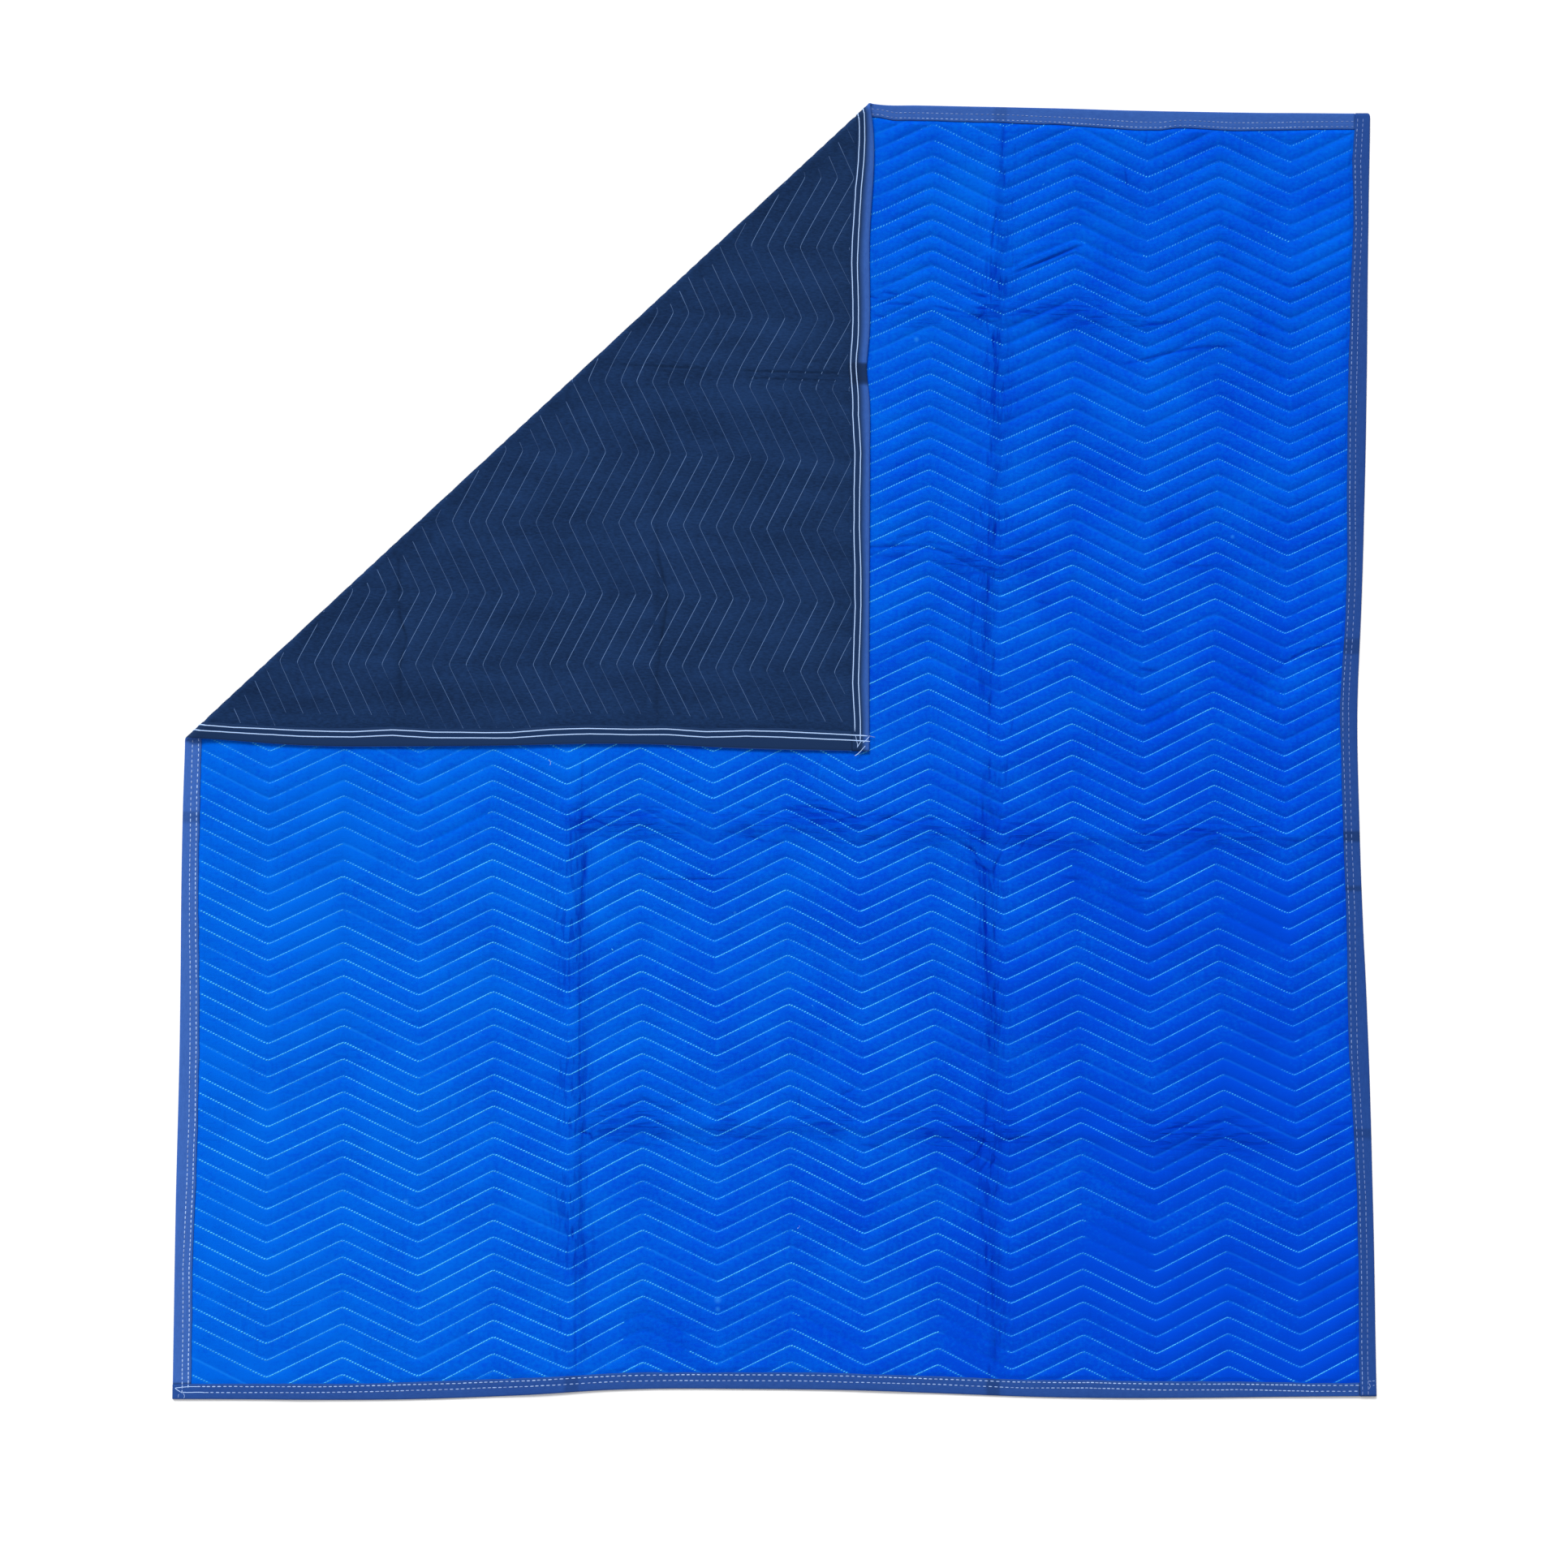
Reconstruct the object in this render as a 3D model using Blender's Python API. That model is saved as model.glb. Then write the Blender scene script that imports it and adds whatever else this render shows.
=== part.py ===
"""Moving blanket, laid flat with its top left corner turned over on the diagonal.

Two cut cloths are quilted together and bound with four woven tapes. Every piece is first made
flat, then laid out to the blanket's slightly uneven outline, then turned over along the fold.
Metres, +Z up, the underside on Z = 0 and the origin in the middle of the outline.
"""

from math import cos, pi, radians, sin

import bmesh
import bpy
import numpy as np
from mathutils import Vector

MM = 0.001

# Finished size of the flat blanket, the height of its pressed stack, and the gap that is left
# between two cloths that touch.
WIDTH = 1.8288
LENGTH = 2.032
STACK = 3.7 * MM
GAP = 0.3 * MM

# The tape's thickness, the round of its folded edge, the width of its leg on each side, and the
# short run over which the quilted cloth rises to its full height beside it.
TAPE = 0.8 * MM
TAPE_ROUND = 0.9 * MM
LEG = {"left": 28 * MM, "right": 25 * MM, "bottom": 21 * MM, "top": 21 * MM}
RISE = 1.0 * MM

# The fold: a point on its outer edge, its direction, and its bend, an arc in each row. The
# second arc lets the turned corner down until its cloth lies a little above the cloth below.
FOLD_POINT = Vector((-0.410, 0.485, 0))
FOLD_ANGLE = radians(44.8)
BEND = (
    {"radius": 4.5 * MM, "turn": radians(192), "steps": 8},
    {"radius": 192 * MM, "turn": radians(-12), "steps": 3},
)

# How far each edge strays outwards, in mm, from the cut rectangle. A row is (along, out). Left
# and right are measured from the bottom up, bottom and top from left to right.
EDGES = {
    "left": ((0, 2), (300, 6), (500, 7), (880, 13), (1000, 13), (1170, 20), (1400, 15),
             (1690, 5), (1850, 8), (2032, 7)),
    "right": ((0, 2), (290, -2), (480, -6), (860, -20), (1080, -23), (1240, -16),
              (1440, -9), (1830, -2), (2032, 2)),
    "bottom": ((0, 0), (390, 0), (520, -5), (640, -12), (900, -13), (1030, -11),
               (1160, -6), (1290, -1), (1829, -1)),
    "top": ((0, 1), (160, -2), (460, -6), (550, -8), (600, -13), (650, -10), (800, -12),
            (975, -7), (1050, -14), (1430, -11), (1600, -7), (1829, -1)),
}

# Storage creases: low ridges that stand up from the cloth. "at" is measured across the cloth
# from its left edge, or up from its bottom edge; "start" and "end" run along the ridge. A ridge
# of the turned corner has a negative height, since its cloth lies upside down. All in mm.
CREASE_WIDTH = 46
CREASE_FADE = 80
CREASES = (
    {"runs": "up", "at": 590, "start": 25, "end": 950, "height": 2.4},
    {"runs": "up", "at": 1230, "start": 25, "end": 1000, "height": 1.8},
    {"runs": "up", "at": 1230, "start": 1060, "end": 2005, "height": 2.2},
    {"runs": "across", "at": 404, "start": 590, "end": 1800, "height": 1.8},
    {"runs": "across", "at": 868, "start": 560, "end": 1800, "height": 2.2},
    {"runs": "across", "at": 1296, "start": 1050, "end": 1330, "height": 1.6},
    {"runs": "across", "at": 1696, "start": 1050, "end": 1500, "height": 1.8},
    {"runs": "up", "at": 590, "start": 1860, "end": 2005, "height": -1.4},
    {"runs": "across", "at": 1296, "start": 30, "end": 250, "height": -1.6},
    {"runs": "across", "at": 1696, "start": 30, "end": 560, "height": -1.8},
)

# More places, in mm, where the flat cloth is divided so that it can follow its outline.
MORE_LINES = {
    "up": (160, 250, 370, 480, 790, 980, 1050, 1110, 1370, 1560, 1710),
    "across": (170, 640, 950, 1080, 1460, 1570, 1860, 1940),
}

FINISHES = {
    "face_cloth": {"color": (0.0, 0.098, 0.716, 1), "roughness": 0.92},
    "back_cloth": {"color": (0.016, 0.038, 0.115, 1), "roughness": 0.9},
    "binding_tape": {"color": (0.045, 0.105, 0.434, 1), "roughness": 0.8},
}


def clear_scene():
    """Empty the scene."""
    for item in list(bpy.data.objects):
        bpy.data.objects.remove(item, do_unlink=True)


def finish(name):
    """The named cloth material."""
    values = FINISHES[name]
    material = bpy.data.materials.new(name)
    material.use_nodes = True
    shader = material.node_tree.nodes["Principled BSDF"]
    shader.inputs["Base Color"].default_value = values["color"]
    shader.inputs["Roughness"].default_value = values["roughness"]
    shader.inputs["Metallic"].default_value = 0.0
    material.diffuse_color = values["color"]
    return material


def strays(side, along):
    """How far an edge lies outside the cut rectangle, on a smooth curve through its rows."""
    places, outs = np.array(EDGES[side]).T * MM
    slopes = np.gradient(outs, places)
    i = int(np.clip(np.searchsorted(places, along) - 1, 0, len(places) - 2))
    span = places[i + 1] - places[i]
    t = np.clip((along - places[i]) / span, 0, 1)
    rise = outs[i + 1] - outs[i]
    bow = (1 - t) * (slopes[i] * span - rise) + t * (rise - slopes[i + 1] * span)
    return outs[i] + t * rise + t * (1 - t) * bow


def laid_out(point):
    """Move a point of the cut rectangle to its place on the uneven, still unfolded blanket."""
    u, v, w = point
    across, up = u / WIDTH, v / LENGTH
    x = u - WIDTH / 2 + strays("right", v) * across - strays("left", v) * (1 - across)
    y = v - LENGTH / 2 + strays("top", u) * up - strays("bottom", u) * (1 - up)
    return Vector((x, y, w))


def ridge(u, v):
    """Height of the storage creases at a point of the cut rectangle."""
    height = 0
    for row in CREASES:
        off, along = (u, v) if row["runs"] == "up" else (v, u)
        off = (off / MM - row["at"]) / CREASE_WIDTH
        inside = min(along / MM - row["start"], row["end"] - along / MM) / CREASE_FADE
        if abs(off) < 0.5 and inside > 0:
            height += row["height"] * MM * cos(pi * off) ** 2 * min(inside, 1)
    return height


def bend_stations():
    """The bend as rows of (cloth length, reach, height, normal's reach, normal's height)."""
    outer = BEND[0]["radius"] + STACK / 2
    length, reach, height, heading = -outer, -outer, STACK / 2, 0.0
    rows = [(length, reach, height, 0.0, 1.0)]
    for arc in BEND:
        bends = 1 if arc["turn"] > 0 else -1
        for _ in range(arc["steps"]):
            turned = heading + arc["turn"] / arc["steps"]
            length += arc["radius"] * abs(turned - heading)
            reach += bends * arc["radius"] * (sin(turned) - sin(heading))
            height -= bends * arc["radius"] * (cos(turned) - cos(heading))
            heading = turned
            rows.append((length, reach, height, -sin(heading), cos(heading)))
    return np.array(rows)


def fold_over(mesh, stations):
    """Turn over all the cloth that lies beyond the fold."""
    along = Vector((cos(FOLD_ANGLE), sin(FOLD_ANGLE), 0))
    beyond = Vector((-sin(FOLD_ANGLE), cos(FOLD_ANGLE), 0))
    lengths, reaches, heights, normal_reaches, normal_heights = stations.T
    for vertex in mesh.verts:
        w = vertex.co.z
        place = vertex.co - FOLD_POINT
        length = place.dot(beyond)
        before, after = min(length - lengths[0], 0), max(length - lengths[-1], 0)
        reach = np.interp(length, lengths, reaches) + before - after
        height = np.interp(length, lengths, heights)
        reach += w * np.interp(length, lengths, normal_reaches)
        height += w * np.interp(length, lengths, normal_heights)
        vertex.co = FOLD_POINT + along * place.dot(along) + beyond * reach + Vector((0, 0, height))


def cut(mesh, point, normal):
    """Divide a mesh where a plane meets it."""
    everything = mesh.verts[:] + mesh.edges[:] + mesh.faces[:]
    bmesh.ops.bisect_plane(mesh, geom=everything, plane_co=point, plane_no=normal, dist=0.02 * MM)


def cut_lines(mesh, runs, places):
    """Divide flat cloth along lines that run up or across it."""
    axis = Vector((1, 0, 0)) if runs == "up" else Vector((0, 1, 0))
    for place in places:
        cut(mesh, axis * place, axis)


def shape_lines(runs):
    """Where flat cloth is divided: at each crease, and where its outline turns."""
    lines = [place * MM for place in MORE_LINES[runs]]
    for at in {row["at"] for row in CREASES if row["runs"] == runs}:
        lines += [(at + side * CREASE_WIDTH / 2) * MM for side in (-1, 0, 1)]
    return sorted(lines)


def triangulate(mesh):
    """Divide every face into triangles, the same way on each cloth."""
    bmesh.ops.triangulate(mesh, faces=mesh.faces[:], quad_method="FIXED", ngon_method="EAR_CLIP")


def settle(mesh, name, material, blanket):
    """Lay out and fold a flat piece, and add it to the scene as an object."""
    for vertex in mesh.verts:
        vertex.co = laid_out(vertex.co)
    stations = bend_stations()
    beyond = Vector((-sin(FOLD_ANGLE), cos(FOLD_ANGLE), 0))
    for length in stations[:, 0]:
        cut(mesh, FOLD_POINT + beyond * length, beyond)
    triangulate(mesh)
    fold_over(mesh, stations)
    bmesh.ops.recalc_face_normals(mesh, faces=mesh.faces[:])
    data = bpy.data.meshes.new(name)
    mesh.to_mesh(data)
    mesh.free()
    data.materials.append(finish(material))
    item = bpy.data.objects.new(name, data)
    item.parent = blanket
    bpy.context.scene.collection.objects.link(item)
    return item


def tape_edges():
    """The rectangle's edges where each tape's inner edge lies: left, right, bottom and top."""
    return LEG["left"], WIDTH - LEG["right"], LEG["bottom"], LENGTH - LEG["top"]


def cloth_panel(name, side, material, blanket):
    """One cut cloth. Side is 1 for the face, on top, and -1 for the back, below it."""
    left, right, bottom, top = tape_edges()
    hem = TAPE + GAP
    mesh = bmesh.new()
    corners = [(u, v) for u in (hem, WIDTH - hem) for v in (hem, LENGTH - hem)]
    square = [mesh.verts.new((*corners[i], 0)) for i in (0, 2, 3, 1)]
    mesh.faces.new(square)
    inner_u = [left + GAP, left + GAP + RISE, right - GAP - RISE, right - GAP]
    inner_v = [bottom + GAP, bottom + GAP + RISE, top - GAP - RISE, top - GAP]
    cut_lines(mesh, "up", inner_u + shape_lines("up"))
    cut_lines(mesh, "across", inner_v + shape_lines("across"))
    triangulate(mesh)
    raised = bmesh.ops.extrude_face_region(mesh, geom=mesh.faces[:])["geom"]
    outer = {item for item in raised if isinstance(item, bmesh.types.BMVert)}
    for vertex in mesh.verts:
        u, v, _ = vertex.co
        free = min(u - left, right - u, v - bottom, top - v) - GAP
        full = np.clip(free / RISE, 0, 1)
        pressed = STACK / 2 - TAPE - GAP
        height = pressed + full * (STACK / 2 - pressed) if vertex in outer else GAP / 2
        vertex.co.z = side * height + ridge(u, v)
    return settle(mesh, name, material, blanket)


def tape_section(width):
    """Half of a tape's closed section, as (inwards, up): its leg, round edge and inner wall."""
    face = STACK / 2
    return (
        (width, face - TAPE),
        (width, face),
        (TAPE_ROUND, face),
        (0, face - TAPE_ROUND),
    ), (TAPE, face - TAPE)


def binding(side, start, end, blanket):
    """One tape folded round an edge, between two places along that edge."""
    outline, inner_corner = tape_section(LEG[side])
    lower = [(inwards, -up) for inwards, up in reversed(outline)]
    section = list(outline) + lower + [(inner_corner[0], -inner_corner[1]), inner_corner]
    runs_up = side in ("left", "right")
    far = {"left": 0, "bottom": 0, "right": WIDTH, "top": LENGTH}[side]
    inward = 1 if far == 0 else -1
    mesh = bmesh.new()
    ring = []
    for inwards, up in section:
        across = far + inward * inwards
        ring.append(mesh.verts.new((across, start, up) if runs_up else (start, across, up)))
    cap = mesh.faces.new(ring)
    along = Vector((0, 1, 0)) if runs_up else Vector((1, 0, 0))
    moved = bmesh.ops.extrude_face_region(mesh, geom=[cap], use_keep_orig=True)["geom"]
    tip = [item for item in moved if isinstance(item, bmesh.types.BMVert)]
    bmesh.ops.translate(mesh, verts=tip, vec=along * (end - start))
    places = shape_lines("across" if runs_up else "up")
    cut_lines(mesh, "across" if runs_up else "up", [p for p in places if start < p < end])
    triangulate(mesh)
    return settle(mesh, f"binding_{side}", "binding_tape", blanket)


def centre(blanket, pieces):
    """Move the blanket so that the middle of its outline is at the origin."""
    corners = np.array([vertex.co for piece in pieces for vertex in piece.data.vertices])
    middle = (corners.min(axis=0) + corners.max(axis=0)) / 2
    blanket.location = (-middle[0], -middle[1], 0)


def build():
    """Make the whole blanket."""
    clear_scene()
    blanket = bpy.data.objects.new("blanket", None)
    bpy.context.scene.collection.objects.link(blanket)
    left, right, bottom, top = tape_edges()
    pieces = [
        cloth_panel("face_panel", 1, "face_cloth", blanket),
        cloth_panel("back_panel", -1, "back_cloth", blanket),
        binding("left", bottom + GAP, top - GAP, blanket),
        binding("right", 0, LENGTH, blanket),
        binding("bottom", 0, right - GAP, blanket),
        binding("top", 0, right - GAP, blanket),
    ]
    centre(blanket, pieces)
    bpy.context.view_layer.update()


build()
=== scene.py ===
"""Moving blanket: the looks of a quilted blanket that lies flat with one corner turned over.

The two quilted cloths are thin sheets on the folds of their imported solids. Every cloth piece is
first made flat, in (u, v, w): across from the left edge, up from the bottom edge, and out of the
cloth. It is then laid out to the blanket's uneven outline and turned over along the fold, as the
solids are. Rows of stitches, seams, loose ends and lint are placed in the same flat measures.
Tables are in mm, everything else is in metres.
"""

from math import cos, pi, radians, sin

import bmesh
import bpy
import numpy as np
from bpy.props import FloatProperty, FloatVectorProperty, PointerProperty
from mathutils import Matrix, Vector


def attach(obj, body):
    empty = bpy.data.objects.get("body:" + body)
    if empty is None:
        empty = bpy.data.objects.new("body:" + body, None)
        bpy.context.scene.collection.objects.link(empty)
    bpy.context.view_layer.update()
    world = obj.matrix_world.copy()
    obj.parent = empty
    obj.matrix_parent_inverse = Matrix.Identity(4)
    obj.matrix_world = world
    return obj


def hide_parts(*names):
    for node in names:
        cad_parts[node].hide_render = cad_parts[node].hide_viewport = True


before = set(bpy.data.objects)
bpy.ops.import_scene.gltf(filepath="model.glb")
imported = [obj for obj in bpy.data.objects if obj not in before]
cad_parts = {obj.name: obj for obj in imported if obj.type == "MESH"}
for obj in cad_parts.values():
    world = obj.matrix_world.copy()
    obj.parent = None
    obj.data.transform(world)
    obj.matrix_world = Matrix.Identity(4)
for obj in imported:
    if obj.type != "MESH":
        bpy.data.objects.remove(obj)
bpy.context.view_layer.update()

bl_info = {
    "name": "Moving Blanket",
    "version": (1, 0, 0),
    "blender": (4, 5, 0),
    "location": "View3D > Sidebar > Blanket",
    "description": "Builds the cloths, bindings and stitches of a quilted moving blanket",
    "category": "Add Mesh",
}

MM = 0.001

# How far the laid out blanket stands from the middle of its packed box, in mm.
SHIFT = (5.917, 1.332)

# The fold: a point on its outer edge, its direction, and its bend, an arc in each row.
FOLD_POINT = (-0.410, 0.485)
FOLD_ANGLE = radians(44.8)
BEND = (
    {"radius": 4.5 * MM, "turn": radians(192), "steps": 14},
    {"radius": 192 * MM, "turn": radians(-12), "steps": 3},
)

# How far each edge strays outwards, in mm, from the cut rectangle. A row is (along, out). Left
# and right are measured from the bottom up, bottom and top from left to right.
EDGES = {
    "left": ((0, 2), (300, 6), (500, 7), (880, 13), (1000, 13), (1170, 20), (1400, 15),
             (1690, 5), (1850, 8), (2032, 7)),
    "right": ((0, 2), (290, -2), (480, -6), (860, -20), (1080, -23), (1240, -16),
              (1440, -9), (1830, -2), (2032, 2)),
    "bottom": ((0, 0), (390, 0), (520, -5), (640, -12), (900, -13), (1030, -11),
               (1160, -6), (1290, -1), (1829, -1)),
    "top": ((0, 1), (160, -2), (460, -6), (550, -8), (600, -13), (650, -10), (800, -12),
            (975, -9), (1045, -18.5), (1100, -17), (1172, -15.7), (1260, -14), (1430, -12),
            (1630, -8), (1829, -2)),
}

# Storage creases: low ridges that stand up from the cloth, as in the solids. "at" is measured
# across the cloth from its left edge, or up from its bottom edge, and so is "line", where a thin
# line of painted shade runs along the crease; "dark" is how strong that painted shade is. A ridge
# of the turned corner has a negative height, since its cloth lies upside down. All in mm but
# "dark". LINE_FADE is how far from its ends a line, and the crinkles beside it, take to reach
# their full strength.
CREASE_WIDTH = 46
CREASE_FADE = 80
LINE_WIDTH = 7
LINE_SWAY = 4
RUMPLED_WIDTH = 34
LINE_FADE = 40
CREASES = (
    {"runs": "up", "at": 590, "start": 25, "end": 950, "height": 2.4, "line": 607, "dark": 0.42},
    {"runs": "up", "at": 1230, "start": 25, "end": 1000, "height": 1.8, "line": 1231, "dark": 0.45},
    {"runs": "up", "at": 1230, "start": 1060, "end": 2005, "height": 2.2, "line": 1233, "dark": 0.5},
    {"runs": "across", "at": 404, "start": 590, "end": 1800, "height": 1.8, "line": 398, "dark": 0.3},
    {"runs": "across", "at": 868, "start": 560, "end": 1800, "height": 2.2, "line": 876, "dark": 0.3},
    {"runs": "across", "at": 1296, "start": 1050, "end": 1330, "height": 1.6, "line": 1308, "dark": 0.4},
    {"runs": "across", "at": 1696, "start": 1050, "end": 1500, "height": 1.8, "line": 1702, "dark": 0.35},
    {"runs": "up", "at": 590, "start": 1860, "end": 2005, "height": -1.4, "line": 589, "dark": 0.35},
    {"runs": "across", "at": 1296, "start": 30, "end": 250, "height": -1.6, "line": 1310, "dark": 0.35},
    {"runs": "across", "at": 1696, "start": 30, "end": 560, "height": -1.8, "line": 1704, "dark": 0.35},
)

# Where the cloth is cut across a wrinkle, from its middle, in half widths.
WRINKLE_CUTS = (-1.3, 0, 1.3)

# The columns of the cloths' grids: how many there are to half a zigzag, and where they are closer
# together, beside the two long creases, in mm.
COLUMNS_PER_HALF = 9
FINE_COLUMNS = (600, 1238)

# Where the cloths are cut finer beside the tapes, from a leg's inner edge, in mm.
TAPE_CUTS = (-3.5, -1, 1.5, 4, 6.5, 9)

# Quilting rows: where some rows cross the cloth at its left, middle and right, half way between
# a row's peaks and valleys. The cloth is taken up a little at each crease. All in mm.
ROW_PLACES = (90, 914, 1740)
ROW_LEVELS = (
    {"row": -2, "left": -15, "middle": -10, "right": -3},
    {"row": 0, "left": 35, "middle": 40, "right": 47},
    {"row": 13, "left": 358, "middle": 366, "right": 374},
    {"row": 17, "left": 456, "middle": 460, "right": 472},
    {"row": 32, "left": 831, "middle": 840, "right": 850},
    {"row": 38, "left": 973, "middle": 984, "right": 997},
    {"row": 48, "left": 1233, "middle": 1244, "right": 1240},
    {"row": 54, "left": 1386, "middle": 1388, "right": 1390},
    {"row": 64, "left": 1642, "middle": 1645, "right": 1648},
    {"row": 70, "left": 1794, "middle": 1792, "right": 1795},
    {"row": 78, "left": 2005, "middle": 2000, "right": 2004},
    {"row": 81, "left": 2084, "middle": 2078, "right": 2082},
)
FIRST_ROW, LAST_ROW = -1, 79

# The zigzag of a row: a peak's place across the cloth, how many half zigzags cover the cloth to
# each side of it, the share of a half zigzag over which its kinks are blunt, and how far the kinks
# drift sideways on the way up the cloth, at its left, middle and right. The places are in mm.
PEAK_AT = 923
HALVES = 9
BLUNT = 0.022
KINK_DRIFT = (
    {"up": 0, "left": 2, "middle": 0, "right": 0},
    {"up": 540, "left": -5, "middle": -2, "right": -1},
    {"up": 1040, "left": -8, "middle": -3, "right": 0},
    {"up": 1545, "left": -11, "middle": -21, "right": -4},
    {"up": 2000, "left": -14, "middle": -23, "right": -9},
)

# Where stitches are missing on the face: first and last row, and from and to across, in mm.
BARE_ROWS = (
    (1, 2, 668, 770), (2, 2, 1150, 1252), (1, 1, 1150, 1250), (2, 2, 935, 1030), (8, 8, 1380, 1480),
    (9, 9, 1370, 1475), (11, 11, 1378, 1490), (7, 7, 1375, 1482), (27, 27, 1600, 1712),
    (28, 28, 1610, 1700), (42, 43, 1600, 1700), (43, 43, 1380, 1480), (41, 42, 1490, 1545),
    (29, 30, 1370, 1480), (33, 33, 380, 460), (70, 70, 1242, 1364), (71, 71, 1366, 1462),
    (65, 66, 1250, 1350), (69, 70, 1372, 1420), (63, 63, 1610, 1700), (66, 66, 1640, 1700),
)

# How a quilted channel rises between two rows: share of the way, and share of the height.
CHANNEL = ((0, 0), (0.12, 0.5), (0.36, 0.94), (0.64, 0.94), (0.88, 0.5))

# While a cloth is cut up flat, its vertices keep their level in the quilting, in rows times this.
LEVEL_STEP = 0.01


def length_setting(name, description, default):
    """A length in the sidebar."""
    return FloatProperty(name=name, description=description, default=default,
                         subtype="DISTANCE", unit="LENGTH")


def colour_setting(name, description, default):
    """A colour in the sidebar."""
    return FloatVectorProperty(name=name, description=description, default=default,
                               subtype="COLOR", size=3, min=0, max=1)


class BlanketSizes(bpy.types.PropertyGroup):
    """Sizes of the cloths, bindings and stitches."""

    width: length_setting("Width", "Width that the blanket was cut to", 1.8288)
    length: length_setting("Length", "Length that the blanket was cut to", 2.032)
    stack: length_setting("Stack", "Height of the pressed cloths and filling", 3.7 * MM)
    kink_spacing: length_setting("Kink spacing", "Width of half a zigzag", 112.4 * MM)
    kink_height: length_setting("Kink height", "Rise from a valley to a peak", 53 * MM)
    sewn_level: length_setting("Sewn level", "Height of the face at a stitch", 1.1 * MM)
    stitch_pitch: length_setting("Quilting pitch", "Length of a quilting stitch", 4.4 * MM)
    stitch_width: length_setting("Quilting thread", "Width of quilting thread", 1.1 * MM)
    seam_width: length_setting("Binding thread", "Width of binding thread", 1.8 * MM)
    tape: length_setting("Tape", "Thickness of the binding tape", 0.75 * MM)


class BlanketColours(bpy.types.PropertyGroup):
    """Colours of the cloths, tapes and threads."""

    face: colour_setting("Face", "Face cloth where it is brightest", (0.0, 0.110, 0.645))
    # The face is mixed towards face_deep by painted light, deepest at the lower right, and by mottle.
    face_deep: colour_setting("Face, deep", "Face cloth where it is deepest", (0.0, 0.052, 0.555))
    back: colour_setting("Back", "Back cloth", (0.0075, 0.0245, 0.078))
    tape: colour_setting("Tape", "Binding tape", (0.041, 0.119, 0.405))
    # Painted light: tapes on the less lit sides of the blanket are mixed towards this colour.
    tape_deep: colour_setting("Tape, deep", "Binding tape where it is deepest", (0.0155, 0.059, 0.244))
    quilting: colour_setting("Quilting thread", "Thread on the face", (0.09, 0.58, 1.0))
    quilting_back: colour_setting("Back thread", "Thread on the back", (0.115, 0.20, 0.39))
    seam: colour_setting("Binding thread", "Thread of the binding seams", (0.44, 0.62, 0.95))


class BlanketStage(bpy.types.PropertyGroup):
    """Floor and light."""

    floor: colour_setting("Floor", "Colour of the floor", (0.9, 0.9, 0.9))
    key: FloatProperty(name="Key light", description="Strength of the large soft light", default=3.5)
    sky: FloatProperty(name="Sky", description="Brightness of the even light all round",
                       default=0.62)


# ---------------------------------------------------------------------- flat to folded


def sizes():
    """The sizes set in the sidebar."""
    return bpy.context.scene.blanket_sizes


def strays(side, along):
    """How far an edge lies outside the cut rectangle, on a smooth curve through its rows."""
    places, outs = np.array(EDGES[side], float).T * MM
    slopes = np.gradient(outs, places)
    i = np.clip(np.searchsorted(places, along) - 1, 0, len(places) - 2)
    span = places[i + 1] - places[i]
    t = np.clip((along - places[i]) / span, 0, 1)
    rise = outs[i + 1] - outs[i]
    bow = (1 - t) * (slopes[i] * span - rise) + t * (rise - slopes[i + 1] * span)
    return outs[i] + t * rise + t * (1 - t) * bow


def laid_out(u, v):
    """Where points of the cut rectangle lie on the uneven, still unfolded blanket."""
    width, length = sizes().width, sizes().length
    across, up = u / width, v / length
    x = u - width / 2 + strays("right", v) * across - strays("left", v) * (1 - across)
    y = v - length / 2 + strays("top", u) * up - strays("bottom", u) * (1 - up)
    return x, y


def along_and_beyond(x, y):
    """Distances along the fold and beyond it, from the point on its outer edge."""
    across, up = x - FOLD_POINT[0], y - FOLD_POINT[1]
    along = across * cos(FOLD_ANGLE) + up * sin(FOLD_ANGLE)
    return along, up * cos(FOLD_ANGLE) - across * sin(FOLD_ANGLE)


def bend_stations():
    """The bend as rows of (cloth length, reach, height, normal's reach, normal's height)."""
    stack = sizes().stack
    outer = BEND[0]["radius"] + stack / 2
    length, reach, height, heading = -outer, -outer, stack / 2, 0.0
    rows = [(length, reach, height, 0.0, 1.0)]
    for arc in BEND:
        bends = 1 if arc["turn"] > 0 else -1
        for _ in range(arc["steps"]):
            turned = heading + arc["turn"] / arc["steps"]
            length += arc["radius"] * abs(turned - heading)
            reach += bends * arc["radius"] * (sin(turned) - sin(heading))
            height -= bends * arc["radius"] * (cos(turned) - cos(heading))
            heading = turned
            rows.append((length, reach, height, -sin(heading), cos(heading)))
    return np.array(rows)


def folded(x, y, w):
    """Turn over all that lies beyond the fold, and give its final places on the floor."""
    along, length = along_and_beyond(x, y)
    lengths, reaches, heights, normal_reaches, normal_heights = bend_stations().T
    before, after = np.minimum(length - lengths[0], 0), np.maximum(length - lengths[-1], 0)
    reach = np.interp(length, lengths, reaches) + before - after
    reach = reach + w * np.interp(length, lengths, normal_reaches)
    z = np.interp(length, lengths, heights) + w * np.interp(length, lengths, normal_heights)
    x = FOLD_POINT[0] + along * cos(FOLD_ANGLE) - reach * sin(FOLD_ANGLE) + SHIFT[0] * MM
    y = FOLD_POINT[1] + along * sin(FOLD_ANGLE) + reach * cos(FOLD_ANGLE) + SHIFT[1] * MM
    return np.column_stack((x, y, np.maximum(z, 0)))


def placed(u, v, w):
    """The final places of flat points."""
    x, y = laid_out(np.asarray(u, float), np.asarray(v, float))
    return folded(x, y, np.asarray(w, float))


def eased(value):
    """A smooth step from 0 to 1."""
    value = np.clip(value, 0, 1)
    return value * value * (3 - 2 * value)


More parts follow.
